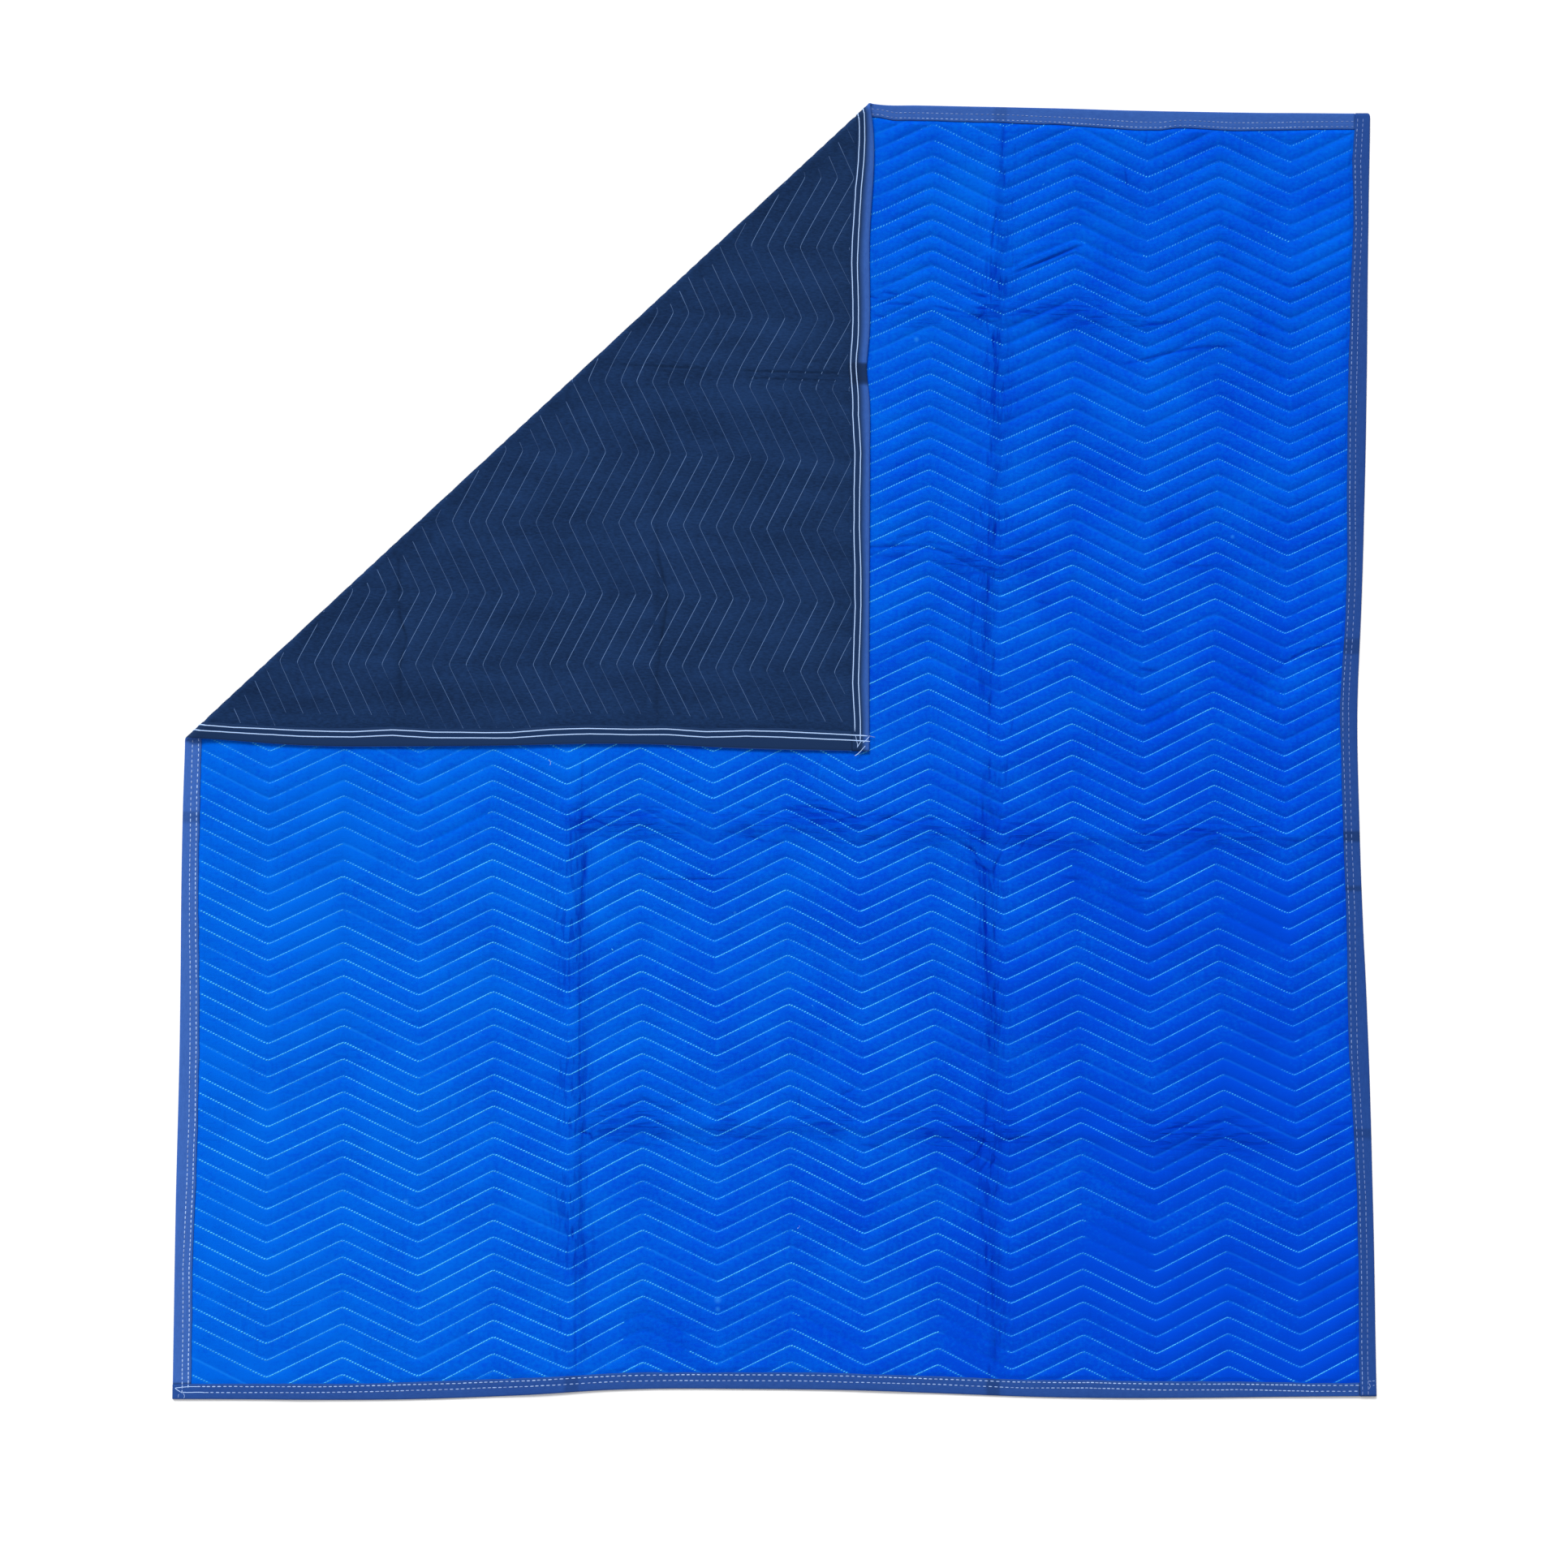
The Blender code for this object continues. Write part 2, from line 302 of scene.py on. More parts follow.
def turned(x, y):
    """1 where laid out cloth belongs to the turned corner, 0 elsewhere."""
    return eased(along_and_beyond(x, y)[1] / FOLD_EASE)


def covered(x, y):
    """1 where laid out cloth lies under the turned corner or in it, 0 well outside it."""
    beyond = along_and_beyond(x, y)[1]
    right, bottom = CORNER_EDGES
    inside = eased(np.minimum(right - x, y - bottom) / CORNER_EASE)
    return np.where(beyond > -FOLD_COVER, 1.0, inside)


def waves(u, v, field, shift=0):
    """One of the uneven fields over the flat cloth, mostly between -1 and 1. Shift changes it."""
    row = FIELDS[field]
    rng = np.random.default_rng(row["seed"] + shift)
    height, total = 0.0, 0.0
    for length in np.geomspace(row["longest"], row["shortest"], row["count"]) * MM:
        heading, phase = rng.uniform(0, 2 * pi, 2)
        weight = (length / (row["longest"] * MM)) ** 0.4
        across = u * cos(heading) + v * sin(heading)
        height = height + weight * np.sin(2 * pi * across / length + phase)
        total += weight * weight
    return height / (total / 2) ** 0.5 / 1.6


# ------------------------------------------------------------------------ quilting rows


def three_places(u, left, middle, right):
    """A value that is given at three places across the cloth, on a smooth curve."""
    a, b, c = (place * MM for place in ROW_PLACES)
    return (
        left * (u - b) * (u - c) / ((a - b) * (a - c))
        + middle * (u - a) * (u - c) / ((b - a) * (b - c))
        + right * (u - a) * (u - b) / ((c - a) * (c - b))
    )


def table_at(table, key, values):
    """A table's left, middle and right columns, in metres, read between its rows."""
    keys = [row[key] for row in table]
    return [np.interp(values, keys, [row[side] for row in table]) * MM
            for side in ("left", "middle", "right")]


def row_point(pattern, row):
    """The flat place (u, v) of a point of a quilting row, or of a place between two rows.

    Pattern is measured across the cloth from its left edge before the kinks drift, so that a
    kink has the same pattern value in each row.
    """
    pattern, row = np.asarray(pattern, float), np.asarray(row, float)
    level = three_places(pattern, *table_at(ROW_LEVELS, "row", row))
    drift = three_places(pattern, *table_at(KINK_DRIFT, "up", level / MM))
    saw = np.abs(((pattern - PEAK_AT * MM) / sizes().kink_spacing + 1) % 2 - 1)
    near = np.minimum(saw, 1 - saw)
    rounded = (near + BLUNT * (np.exp(-near / BLUNT) - 1)) / (1 - 2 * BLUNT)
    saw = np.where(saw < 0.5, rounded, 1 - rounded)
    v = three_places(pattern + drift, *table_at(ROW_LEVELS, "row", row))
    return pattern + drift, v + sizes().kink_height * (0.5 - saw)


# ------------------------------------------------------------------- heights of the cloth

# The binding tape: the widths of its legs on the face and on the back, the places of its two
# seams there, from the outer edge, where those seams start and end along the edge, the pitch of
# its face stitches, the share of it that a stitch fills, how faint they are, how deep its colour
# is, which is painted light that is deepest on the right and the bottom, how far its outer corner
# at the top is cut back, and how far its inner part strays further in, as (along, in). All in mm
# but the shares, the faintness and the depth of colour.
TAPES = {
    "left": {
        "leg": (27, 28), "seams": ((14, 22.9), (14.5, 22.9)),
        "pitch": 7.4, "filled": 0.68, "faint": 0.12, "deep": 0.0,
        "blunt": 0, "ends": (((11, 2000), (19, 2000)), ((2, 2035), (2, 2032))),
        "strays": ((0, 0), (92, 0.2), (197, -1.1), (302, 1.8), (407, 2.8), (512, 2), (617, 1),
                   (722, -1.1), (930, -2), (1060, -2.5), (1120, -0.8), (1240, -0.2), (1300, 2.6),
                   (1360, -1.6), (1480, -3.2), (1540, 0), (1600, 0.9), (1660, -0.4), (1720, 1.4),
                   (1780, 0.3), (1840, 4.7), (1900, 4.8), (1995, 2.3), (2035, 0.4)),
    },
    "right": {
        "leg": (26, 26), "seams": ((13, 21.9), (13, 21.9)),
        "pitch": 8.6, "filled": 0.68, "faint": 0.8, "deep": 1.0,
        "blunt": 2.6, "ends": (((4, 2027), (4, 2025)), ((3, 2029), (3, 2029))),
        "strays": ((0, 0.6), (85, 0.3), (195, -0.9), (305, -0.9), (415, 2), (525, 6.1), (635, 3.6),
                   (745, 0.1), (965, 1), (1075, 2.3), (1185, -0.4), (1295, -0.9), (1405, 2.6),
                   (1515, 4.6), (1625, 3.6), (1735, 2.1), (1845, -1.7), (1955, 1.9), (2032, -1.5)),
    },
    "bottom": {
        "leg": (25, 25), "seams": ((12.5, 21.1), (12.3, 21)),
        "pitch": 8.2, "filled": 0.68, "faint": 0.25, "deep": 0.85,
        "blunt": 0, "ends": (((50, 1800), (38, 1803)), ((2, 1800), (2, 1803))),
        "strays": ((0, -2.7), (50, -2.3), (232, -1.1), (347, 0.9), (462, 1.1), (577, -0.1),
                   (807, -0.1), (922, 1.1), (1037, 0.1), (1152, 1.1), (1267, 0.7), (1382, 2.9),
                   (1497, 0.4), (1612, -0.3), (1727, -4.1), (1829, -4.5)),
    },
    "top": {
        "leg": (26, 27), "seams": ((13.5, 22.1), (14.8, 23.7)),
        "pitch": 7.7, "filled": 0.58, "faint": 0.6, "deep": 0.3,
        "blunt": 0, "ends": (((1020, 1802), (1020, 1801)), ((15, 1800), (30, 1800))),
        "strays": ((0, -1), (45, -0.8), (105, 1.9), (165, -0.1), (225, -1.7), (285, -0.9),
                   (345, 1.2), (405, 1.1), (465, -0.3), (525, 3.8), (585, 1.8), (645, 3.1),
                   (765, 4.8), (825, 2.9), (885, 3.6), (945, 0.9), (1000, -2), (1042, -5),
                   (1066, -1), (1255, 0.1),
                   (1325, 1.4), (1395, 3.9), (1450, 6), (1490, 5.8), (1515, 1.8), (1535, 1.4),
                   (1605, 4.4), (1675, 3.1), (1745, 1.4), (1829, 0)),
    },
}

# The legs of the tapes: how high they are crowned, how far a seam draws them in, how much more
# or less it does so at each stitch, over what half width, how far in from the outer edge their
# insides start, all in metres, and the share of the shape that is left on the back.
LEG_CROWN = 0.22 * MM
SEAM_PULL, STITCH_PULL, PULL_WIDTH = 0.26 * MM, 0.12 * MM, 1.5 * MM
TAPE_INSIDE = 2.2 * MM
BACK_SHARE = 0.35

# Shaded places of the tapes: side, 0 for its face or 1 for its back, place along the edge, half
# its length, both in mm, and how dark it is.
TAPE_SHADES = (
    ("top", 1, 590, 19, 1.0), ("right", 0, 868, 9, 0.6), ("right", 0, 786, 6, 0.5),
    ("left", 0, 868, 9, 0.35), ("right", 0, 1168, 14, 0.4), ("bottom", 0, 590, 12, 0.3),
    ("bottom", 0, 1230, 12, 0.45), ("top", 0, 1232, 12, 0.2), ("right", 0, 404, 9, 0.35),
)

# Loose ends of thread and the loops at the corners: 0 on the face or 1 on the back, the thread,
# its width in mm, how faint it is, and its path on the flat cloth in mm.
LOOSE_ENDS = (
    (0, "seam", 1.3, 0.0, ((3.8, 16.6), (13, 17.6), (24, 18.7), (37, 18.6))),
    (0, "seam", 1.4, 0.0, ((11.5, 10.6), (24, 10), (40, 10.7), (49, 9.9))),
    (0, "seam", 1.3, 0.0, ((3.8, 16.6), (7.3, 13.5), (12, 11))),
    (0, "seam", 1.0, 0.3, ((15.8, 9.3), (18.4, 5), (16.8, 1.6))),
    (0, "seam", 1.0, 0.5, ((9.4, 7.6), (8.3, 2.5))),
    (0, "seam", 1.0, 0.5, ((1815.5, 23.3), (1820.3, 22.9))),
    (0, "seam", 1.0, 0.5, ((1822, 23.6), (1826, 23.6))),
    (0, "seam", 1.0, 0.6, ((1822.7, 16.6), (1825.6, 16.9))),
    (0, "seam", 1.0, 0.6, ((1817, 19.5), (1819, 15), (1816, 11))),
    (1, "seam", 1.2, 0.3, ((25.4, 2010), (16.1, 2012.4), (8.2, 2014), (5.1, 2013.2))),
    (1, "seam", 1.3, 0.0, ((12.8, 2021.9), (17.1, 2027.4), (22.7, 2032.1))),
    (1, "seam", 1.2, 0.0, ((-7.5, 2009.4), (-5.9, 2012.5), (-1.1, 2017.9), (4.5, 2022.6),
                           (8.1, 2025.8))),
    (1, "seam", 1.2, 0.1, ((5.9, 2013.5), (9.8, 2015.5), (15.4, 2019.5))),
    (1, "seam", 1.0, 0.8, ((24, 2031), (22.6, 2036), (21.7, 2041))),
    (0, "quilting", 1.5, 0.0, ((650, 672.5), (652, 669.5))),
    (0, "quilting", 1.6, 0.0, ((956, 588.5), (958, 585.5))),
    (0, "seam", 1.1, 0.1, ((935.5, 249.5), (935, 246.5), (932, 244.5))),
    (0, "seam", 0.8, 0.2, ((553, 966), (556, 963), (556.5, 959), (554, 956), (555.5, 953))),
    (0, "quilting", 1.0, 0.2, ((1302, 1905), (1307, 1911), (1312, 1912))),
)

# Where the stitches of the face are fainter: place across and up, half width, all in mm, and how
# much fainter they are.
FAINT_PLACES = ((1450, 350, 480, 0.3), (230, 950, 330, 0.4), (880, 260, 300, 0.14))

# The stitches of the face on segments that climb to the right and on those that fall: their length
# in pitches, their width in threads, and their lean away from the row in radians. Each is given
# low down on the cloth and high up, and changes over the rows of STITCH_CHANGE.
STITCH_SHAPES = {
    "climbs": {"long": (1.12, 0.82), "wide": (1.35, 1.25), "lean": (0.04, 0.54)},
    "falls": {"long": (0.76, 0.76), "wide": (1.7, 1.28), "lean": (0.7, 1.3)},
}
STITCH_CHANGE = (46, 64)

# The faintness of a segment of face stitches, whose place is its share of the way across the
# cloth plus 0.7 of its share of the way up. SEGMENT_SHAPE is the shape of the random part.
# FALLING_MORE, times the place, is added to falling segments low on the cloth, CLIMBING_MORE to
# climbing ones, low down and high up, and FAR_MORE, times how far the place is past FAR_PLACE, to
# all. The last two numbers are how uneven it is from stitch to stitch and over the cloth.
SEGMENT_SHAPE = (1.2, 3.6)
FALLING_MORE = 0.22
CLIMBING_MORE = (0.1, 0.22)
FAR_PLACE, FAR_MORE = 0.75, 0.4
UNEVEN_STITCHES, UNEVEN_CLOTH = 0.08, 0.2

# The odds that stitches of a segment are missing: at place 0, and how much they grow by place 1.
MISSING_ODDS = {"falls": (0.012, 0.05), "climbs": (0.006, 0.012)}

# The rows over which the pitch of the face stitches grows, and the share by which it does.
PITCH_CHANGE = (58, 70)
PITCH_GROWTH = 0.16

# Paler patches of the face, as rings of rubbed nap: place across and up, and half width, in mm.
PALE_PATCHES = ((840, 730, 3), (811, 135, 7), (811, 121, 5), (1617, 1343, 4), (341, 295, 5),
                (135, 330, 4), (1436, 1240, 4), (1105, 1650, 5))

# How high the quilted channels puff above the stitches, in mm, at the corners of the face.
PUFF = {"bottom_left": 0.8, "bottom_right": 1.4, "top_left": 2.3, "top_right": 3.0}
BACK_PUFF = 0.9 * MM
COVERED_PUFF = 0.6 * MM
FLOOR_PUFF = 0.6 * MM
TAPE_GAP = 0.3 * MM

# Threads, in metres: how tall a face stitch, a binding stitch and the looper thread are and how
# far each is sunk in, and how wide the looper thread and the back's unbroken seams are.
QUILTING_TALL, QUILTING_SUNK = 0.62 * MM, 0.10 * MM
SEAM_TALL, SEAM_SUNK = 0.75 * MM, 0.12 * MM
LOOPER_WIDE, LOOPER_TALL, LOOPER_SUNK = 1.3 * MM, 0.45 * MM, 0.08 * MM
BACK_SEAM_WIDE = 2 * MM

# The points of the looper thread along half a zigzag, as shares of it, closer at the kinks.
LOOPER_STEPS = (0, 0.02, 0.05, 0.11, 0.3, 0.5, 0.7, 0.89, 0.95, 0.98)

# Distances along the cloth over which its height eases: from the tapes, and at the fold.
TAPE_EASE = 7 * MM
FOLD_EASE = 12 * MM

# The turned corner's right and bottom edges on the laid out cloth that it covers, in metres, and
# how softly the covered cloth rises beside them. The stitches of the face reach a little further
# under the corner, to STITCHED_TO.
CORNER_EDGES = (0.150, -0.065)
CORNER_EASE = 35 * MM
STITCHED_TO = (0.075, 0.010)

# How near to the fold the cloth counts as covered, and how near the stitches of the face come to
# the fold and to the tapes.
FOLD_COVER = 8 * MM
FOLD_CLEARANCE = 6 * MM
TAPE_CLEARANCE = 1.2 * MM

# Uneven fields over the flat cloth: their seed, their longest and shortest waves in mm, and how
# many waves they have.
FIELDS = {
    "swell": {"seed": 11, "longest": 600, "shortest": 160, "count": 12},
    "face channels": {"seed": 5, "longest": 300, "shortest": 50, "count": 12},
    "back channels": {"seed": 6, "longest": 300, "shortest": 50, "count": 12},
    "crease path": {"seed": 34, "longest": 400, "shortest": 50, "count": 6},
    "crease depth": {"seed": 35, "longest": 200, "shortest": 30, "count": 12},
    "rumpled places": {"seed": 31, "longest": 250, "shortest": 40, "count": 12},
    "faint crinkles": {"seed": 32, "longest": 300, "shortest": 50, "count": 12},
    "stitch faintness": {"seed": 77, "longest": 120, "shortest": 20, "count": 6},
    "tape crown": {"seed": 0, "longest": 50, "shortest": 8, "count": 8},
    "tape sway": {"seed": 40, "longest": 210, "shortest": 18, "count": 8},
    "seam sway": {"seed": 0, "longest": 200, "shortest": 20, "count": 8},
    "seam pitch": {"seed": 55, "longest": 500, "shortest": 100, "count": 6},
    "seam faintness": {"seed": 56, "longest": 300, "shortest": 50, "count": 6},
}

# Colours that the materials mix into those of the sidebar. Each thread has the colour of its
# fainter stretches here.
TINTS = {
    # The crease tint is the colour of the painted shade in creases, crinkles and wrinkles.
    "crease": (0.0, 0.018, 0.34),
    "thread glow": (0.012, 0.27, 0.9),
    "rubbed nap": (0.05, 0.42, 0.95),
    "speck": (0.03, 0.30, 0.80),
    "tape mottle": (0.68, 0.72, 0.8),
    "tape shade": (0.004, 0.014, 0.045),
    "quilting": (0.0, 0.17, 0.72),
    "quilting_back": (0.024, 0.055, 0.145),
    "seam": (0.10, 0.165, 0.42),
}

# The camera: its place over the blanket in metres, its turn in degrees, and its lens in mm.
CAMERA_PLACE = (-0.25935, -0.31460, 3.48361)
CAMERA_TURN = (3.82845, -4.01823, 0.98010)
CAMERA_LENS = 51.95

# The large light: the direction it comes from, and the angle that it spans, in degrees.
KEY_FROM = (-0.42, 1.0, 0.88)
KEY_SPAN = 22

# Lines of the storage creases and the lesser wrinkles round them, where they lie on the flat
# face, in mm: (from u, from v, to u, to v, half width, depth).
WRINKLES = {
    "lower part of the left crease": (
        (597, 32, 596, 110, 2.6, 0.9), (596, 110, 598, 215, 2.4, 0.6),
        (609, 292, 609, 262, 2.0, 0.7), (592, 252, 592, 228, 2.0, 0.7),
        (622, 252, 624, 200, 3.4, 0.5), (603, 372, 605, 300, 2.4, 0.8),
        (612, 335, 613, 305, 2.0, 0.7), (602, 452, 600, 413, 2.4, 1.2),
        (600, 500, 599, 458, 2.2, 0.9), (600, 550, 601, 504, 2.2, 0.9),
        (582, 552, 581, 536, 1.8, 0.5),
    ),
    "upper part of the left crease": (
        (601, 545, 601, 642, 2.4, 0.9), (601, 642, 605, 745, 2.2, 0.8),
        (605, 742, 608, 802, 2.6, 1.3), (612, 832, 611, 780, 3.0, 1.3),
        (590, 862, 588, 800, 2.2, 0.5), (606, 882, 605, 858, 2.2, 0.8),
        (606, 968, 605, 904, 2.8, 0.8), (597, 870, 577, 876, 2.0, 0.4),
        (620, 838, 621, 812, 1.8, 0.5),
    ),
    "lower part of the right crease": (
        (1226, 46, 1226, 22, 2.2, 1.1), (1236, 104, 1236, 42, 3.2, 0.7),
        (1233, 166, 1233, 138, 2.6, 1.1), (1223, 198, 1221, 246, 2.6, 0.9),
        (1217, 243, 1217, 287, 3.0, 1.0), (1257, 234, 1257, 216, 2.0, 0.7),
        (1212, 332, 1212, 310, 2.2, 0.9), (1240, 321, 1236, 304, 2.0, 0.8),
        (1226, 359, 1211, 341, 2.4, 1.2), (1237, 363, 1226, 345, 2.0, 0.9),
        (1222, 392, 1206, 362, 2.2, 1.2), (1206, 362, 1189, 351, 2.2, 1.2),
        (1216, 383, 1214, 360, 2.0, 0.9), (1211, 396, 1224, 388, 2.0, 1.1),
        (1225, 467, 1222, 413, 3.6, 1.2), (1250, 452, 1250, 430, 2.0, 0.7),
        (1196, 402, 1213, 385, 1.8, 0.6), (1230, 372, 1246, 356, 1.8, 0.5),
        (1243, 590, 1243, 560, 2.0, 0.7), (1240, 577, 1240, 551, 2.4, 1.0),
        (1198, 300, 1208, 290, 2.0, 0.5),
    ),
    "middle of the right crease": (
        (1241, 597, 1238, 620, 2.2, 1.0), (1240, 618, 1243, 641, 2.2, 0.9),
        (1231, 622, 1227, 664, 3.0, 1.1), (1227, 662, 1229, 700, 3.0, 1.1),
        (1229, 706, 1229, 734, 3.2, 1.3), (1243, 701, 1243, 724, 2.2, 1.0),
        (1216, 740, 1214, 775, 2.2, 0.6), (1225, 780, 1219, 804, 2.2, 0.9),
        (1213, 824, 1242, 804, 2.6, 1.4), (1243, 806, 1257, 838, 2.4, 1.2),
        (1195, 851, 1214, 838, 2.4, 1.2), (1208, 846, 1226, 820, 2.0, 1.0),
        (1215, 857, 1232, 850, 2.0, 0.9), (1228, 884, 1229, 916, 2.4, 1.1),
        (1217, 903, 1219, 925, 2.0, 0.7), (1240, 949, 1240, 982, 2.6, 1.1),
        (1265, 949, 1268, 988, 2.2, 0.9), (1240, 1014, 1239, 1041, 2.2, 0.9),
        (1274, 1027, 1277, 1047, 2.0, 0.9), (1241, 1053, 1241, 1080, 2.6, 1.2),
        (1283, 838, 1297, 861, 1.8, 0.8), (1262, 846, 1275, 868, 1.8, 0.6),
        (1300, 845, 1310, 866, 1.8, 0.5), (1252, 870, 1258, 896, 2.0, 0.6),
        (1180, 798, 1196, 812, 1.8, 0.5), (1203, 862, 1190, 871, 1.8, 0.7),
        (1410, 985, 1410, 1042, 2.0, 0.4),
    ),
    "upper part of the right crease": (
        (1243, 1075, 1243, 1094, 2.2, 0.8), (1246, 1124, 1246, 1151, 2.2, 0.9),
        (1233, 1229, 1233, 1267, 2.6, 1.3), (1240, 1324, 1240, 1361, 2.4, 1.3),
        (1222, 1352, 1216, 1378, 2.2, 0.6), (1225, 1380, 1225, 1425, 3.0, 0.6),
        (1225, 1444, 1224, 1471, 2.4, 0.9), (1231, 1444, 1228, 1500, 2.4, 0.9),
        (1223, 1510, 1224, 1528, 2.2, 0.8), (1235, 1596, 1235, 1616, 2.6, 0.9),
        (1227, 1639, 1228, 1668, 2.4, 1.0), (1221, 1753, 1222, 1790, 2.4, 1.1),
        (1222, 1799, 1226, 1840, 2.6, 1.2), (1228, 1840, 1229, 1860, 2.4, 1.2),
        (1241, 1905, 1241, 1925, 2.2, 1.3), (1236, 1903, 1236, 1956, 3.4, 1.0),
        (1237, 1958, 1238, 2002, 3.4, 1.1), (1254, 1860, 1255, 1880, 2.0, 0.5),
    ),
    "left half of the second crease": (
        (616, 877, 647, 862, 2.4, 1.4), (647, 862, 668, 866, 2.0, 0.5),
        (705, 893, 745, 889, 2.2, 0.6), (727, 880, 758, 873, 2.2, 0.7),
        (740, 867, 776, 863, 2.2, 0.7), (757, 928, 785, 937, 2.0, 0.6),
        (725, 915, 752, 932, 1.8, 0.4), (783, 889, 820, 882, 2.2, 0.7),
        (800, 878, 846, 884, 2.2, 0.6), (846, 897, 880, 890, 2.0, 0.5),
        (864, 850, 890, 838, 2.2, 0.9), (883, 843, 915, 838, 2.2, 0.6),
        (914, 891, 976, 885, 2.4, 0.8), (931, 897, 992, 893, 2.2, 1.1),
        (979, 893, 1018, 888, 2.2, 1.0), (1000, 878, 1046, 892, 2.2, 0.8),
        (1014, 891, 1032, 884, 2.0, 1.0), (1036, 885, 1062, 893, 2.0, 0.7),
        (1060, 880, 1104, 896, 2.2, 0.9), (1066, 889, 1119, 880, 2.2, 1.1),
        (1085, 872, 1152, 888, 2.4, 0.8), (1040, 850, 1072, 860, 2.0, 0.5),
        (1053, 836, 1094, 846, 2.2, 0.5), (1120, 893, 1160, 884, 2.2, 0.6),
        (650, 889, 690, 880, 2.0, 0.4), (955, 905, 985, 908, 2.0, 0.5),
        (705, 780, 749, 780, 1.7, 1.0), (749, 780, 842, 783, 1.7, 1.0),
        (820, 858, 850, 852, 2.0, 0.5), (935, 822, 960, 812, 1.8, 0.4),
    ),
    "right half of the second crease": (
        (1480, 868, 1560, 872, 4.4, 0.6), (1548, 881, 1604, 872, 3.4, 0.8),
        (1352, 801, 1385, 800, 2.4, 1.1), (1465, 784, 1502, 780, 2.4, 1.2),
        (1500, 877, 1540, 885, 2.6, 0.4), (1565, 848, 1600, 856, 2.8, 0.4),
        (1655, 872, 1705, 876, 3.4, 0.6), (1690, 864, 1745, 858, 3.4, 0.5),
        (1395, 862, 1440, 857, 3.0, 0.4),
    ),
    "lowest crease": (
        (601, 394, 617, 389, 2.2, 1.4), (617, 389, 621, 380, 1.8, 1.1),
        (640, 380, 698, 371, 2.6, 0.6), (660, 428, 701, 440, 2.2, 0.5),
        (690, 445, 726, 429, 2.2, 0.6), (740, 430, 774, 441, 2.2, 0.6),
        (755, 376, 802, 371, 2.2, 0.6), (800, 432, 852, 436, 2.4, 0.7),
        (812, 386, 902, 377, 2.8, 0.6), (935, 448, 936, 428, 2.0, 0.8),
        (905, 452, 930, 446, 2.0, 0.5), (1000, 452, 1019, 461, 2.2, 1.2),
        (1020, 362, 1018, 346, 2.0, 0.6), (1030, 378, 1082, 367, 2.8, 0.6),
        (1082, 444, 1112, 436, 2.2, 0.4), (1060, 398, 1130, 404, 3.2, 0.4),
        (1243, 389, 1289, 398, 2.6, 1.0), (1483, 408, 1536, 419, 2.4, 0.8),
        (1530, 413, 1592, 424, 2.4, 1.0), (1577, 402, 1590, 403, 2.2, 1.1),
        (1700, 408, 1760, 412, 3.0, 0.5), (1761, 417, 1802, 419, 2.6, 0.8),
        (1290, 420, 1330, 428, 2.4, 0.5),
    ),
    "third crease": (
        (1040, 1315, 1114, 1319, 2.6, 1.7), (1114, 1319, 1184, 1307, 2.4, 1.0),
        (1045, 1302, 1120, 1300, 4.6, 0.9), (1080, 1330, 1128, 1340, 2.4, 0.7),
        (1128, 1326, 1180, 1320, 2.2, 0.6), (1150, 1300, 1200, 1292, 3.0, 0.5),
        (1523, 1303, 1556, 1296, 3.0, 0.6), (1550, 1294, 1588, 1296, 3.0, 0.7),
        (1604, 1297, 1632, 1291, 3.2, 0.7), (1305, 1237, 1329, 1232, 2.2, 0.9),
        (1473, 1132, 1506, 1128, 2.6, 1.2), (1280, 1372, 1300, 1386, 2.0, 0.4),
    ),
    "right edge": (
        (1716, 1147, 1745, 1162, 2.6, 1.7), (1745, 1162, 1800, 1173, 2.6, 1.5),
        (1684, 1124, 1712, 1144, 3.2, 0.7), (1728, 1146, 1790, 1160, 5.0, 0.6),
        (1795, 862, 1770, 874, 2.6, 0.6), (1790, 470, 1770, 465, 2.0, 0.4),
    ),
    "tuck": (
        (1260, 1762, 1366, 1809, 2.7, 3.0), (1253, 1771, 1362, 1818, 6.4, -1.5),
        (1256, 1793, 1352, 1818, 6.0, -1.0),
    ),
    "highest crease": (
        (1026, 1719, 1042, 1716, 2.2, 1.2), (1050, 1727, 1073, 1723, 2.2, 1.2),
        (1040, 1708, 1080, 1719, 2.2, 0.8), (1056, 1708, 1102, 1706, 2.6, 1.2),
        (1130, 1704, 1154, 1700, 2.4, 1.0), (1145, 1700, 1185, 1694, 2.6, 1.0),
        (1190, 1727, 1214, 1721, 2.6, 1.4), (1192, 1704, 1213, 1702, 2.2, 1.1),
        (1035, 1690, 1058, 1684, 2.2, 0.9), (1085, 1722, 1118, 1716, 2.2, 0.8),
        (1165, 1738, 1196, 1732, 2.4, 0.7), (1046, 1741, 1082, 1748, 2.4, 0.6),
        (1070, 1690, 1110, 1693, 2.4, 0.6), (1200, 1685, 1216, 1698, 2.0, 0.7),
        (1245, 1690, 1284, 1700, 2.6, 0.8), (1283, 1687, 1331, 1709, 3.0, 0.7),
        (1463, 1681, 1512, 1687, 2.6, 1.4), (1512, 1687, 1535, 1697, 2.4, 0.6),
        (1435, 1619, 1466, 1624, 2.6, 0.9), (1467, 1626, 1509, 1638, 2.6, 1.4),
        (1509, 1638, 1553, 1647, 2.6, 1.3), (1552, 1647, 1614, 1650, 3.2, 1.2),
        (1604, 1675, 1628, 1670, 2.8, 0.9), (1643, 1671, 1663, 1667, 2.8, 0.6),
        (1420, 1660, 1448, 1664, 2.4, 0.5), (1433, 1934, 1437, 1909, 2.4, 1.2),
        (1467, 1994, 1465, 1970, 2.4, 0.8), (1280, 1948, 1300, 1956, 2.0, 0.3),
        (1710, 1752, 1745, 1760, 3.0, 0.5), (1560, 1600, 1600, 1606, 3.0, 0.4),
    ),
    "turned corner": (
        (28, 1704, 104, 1703, 2.6, 0.8), (104, 1703, 153, 1709, 2.4, 0.8),
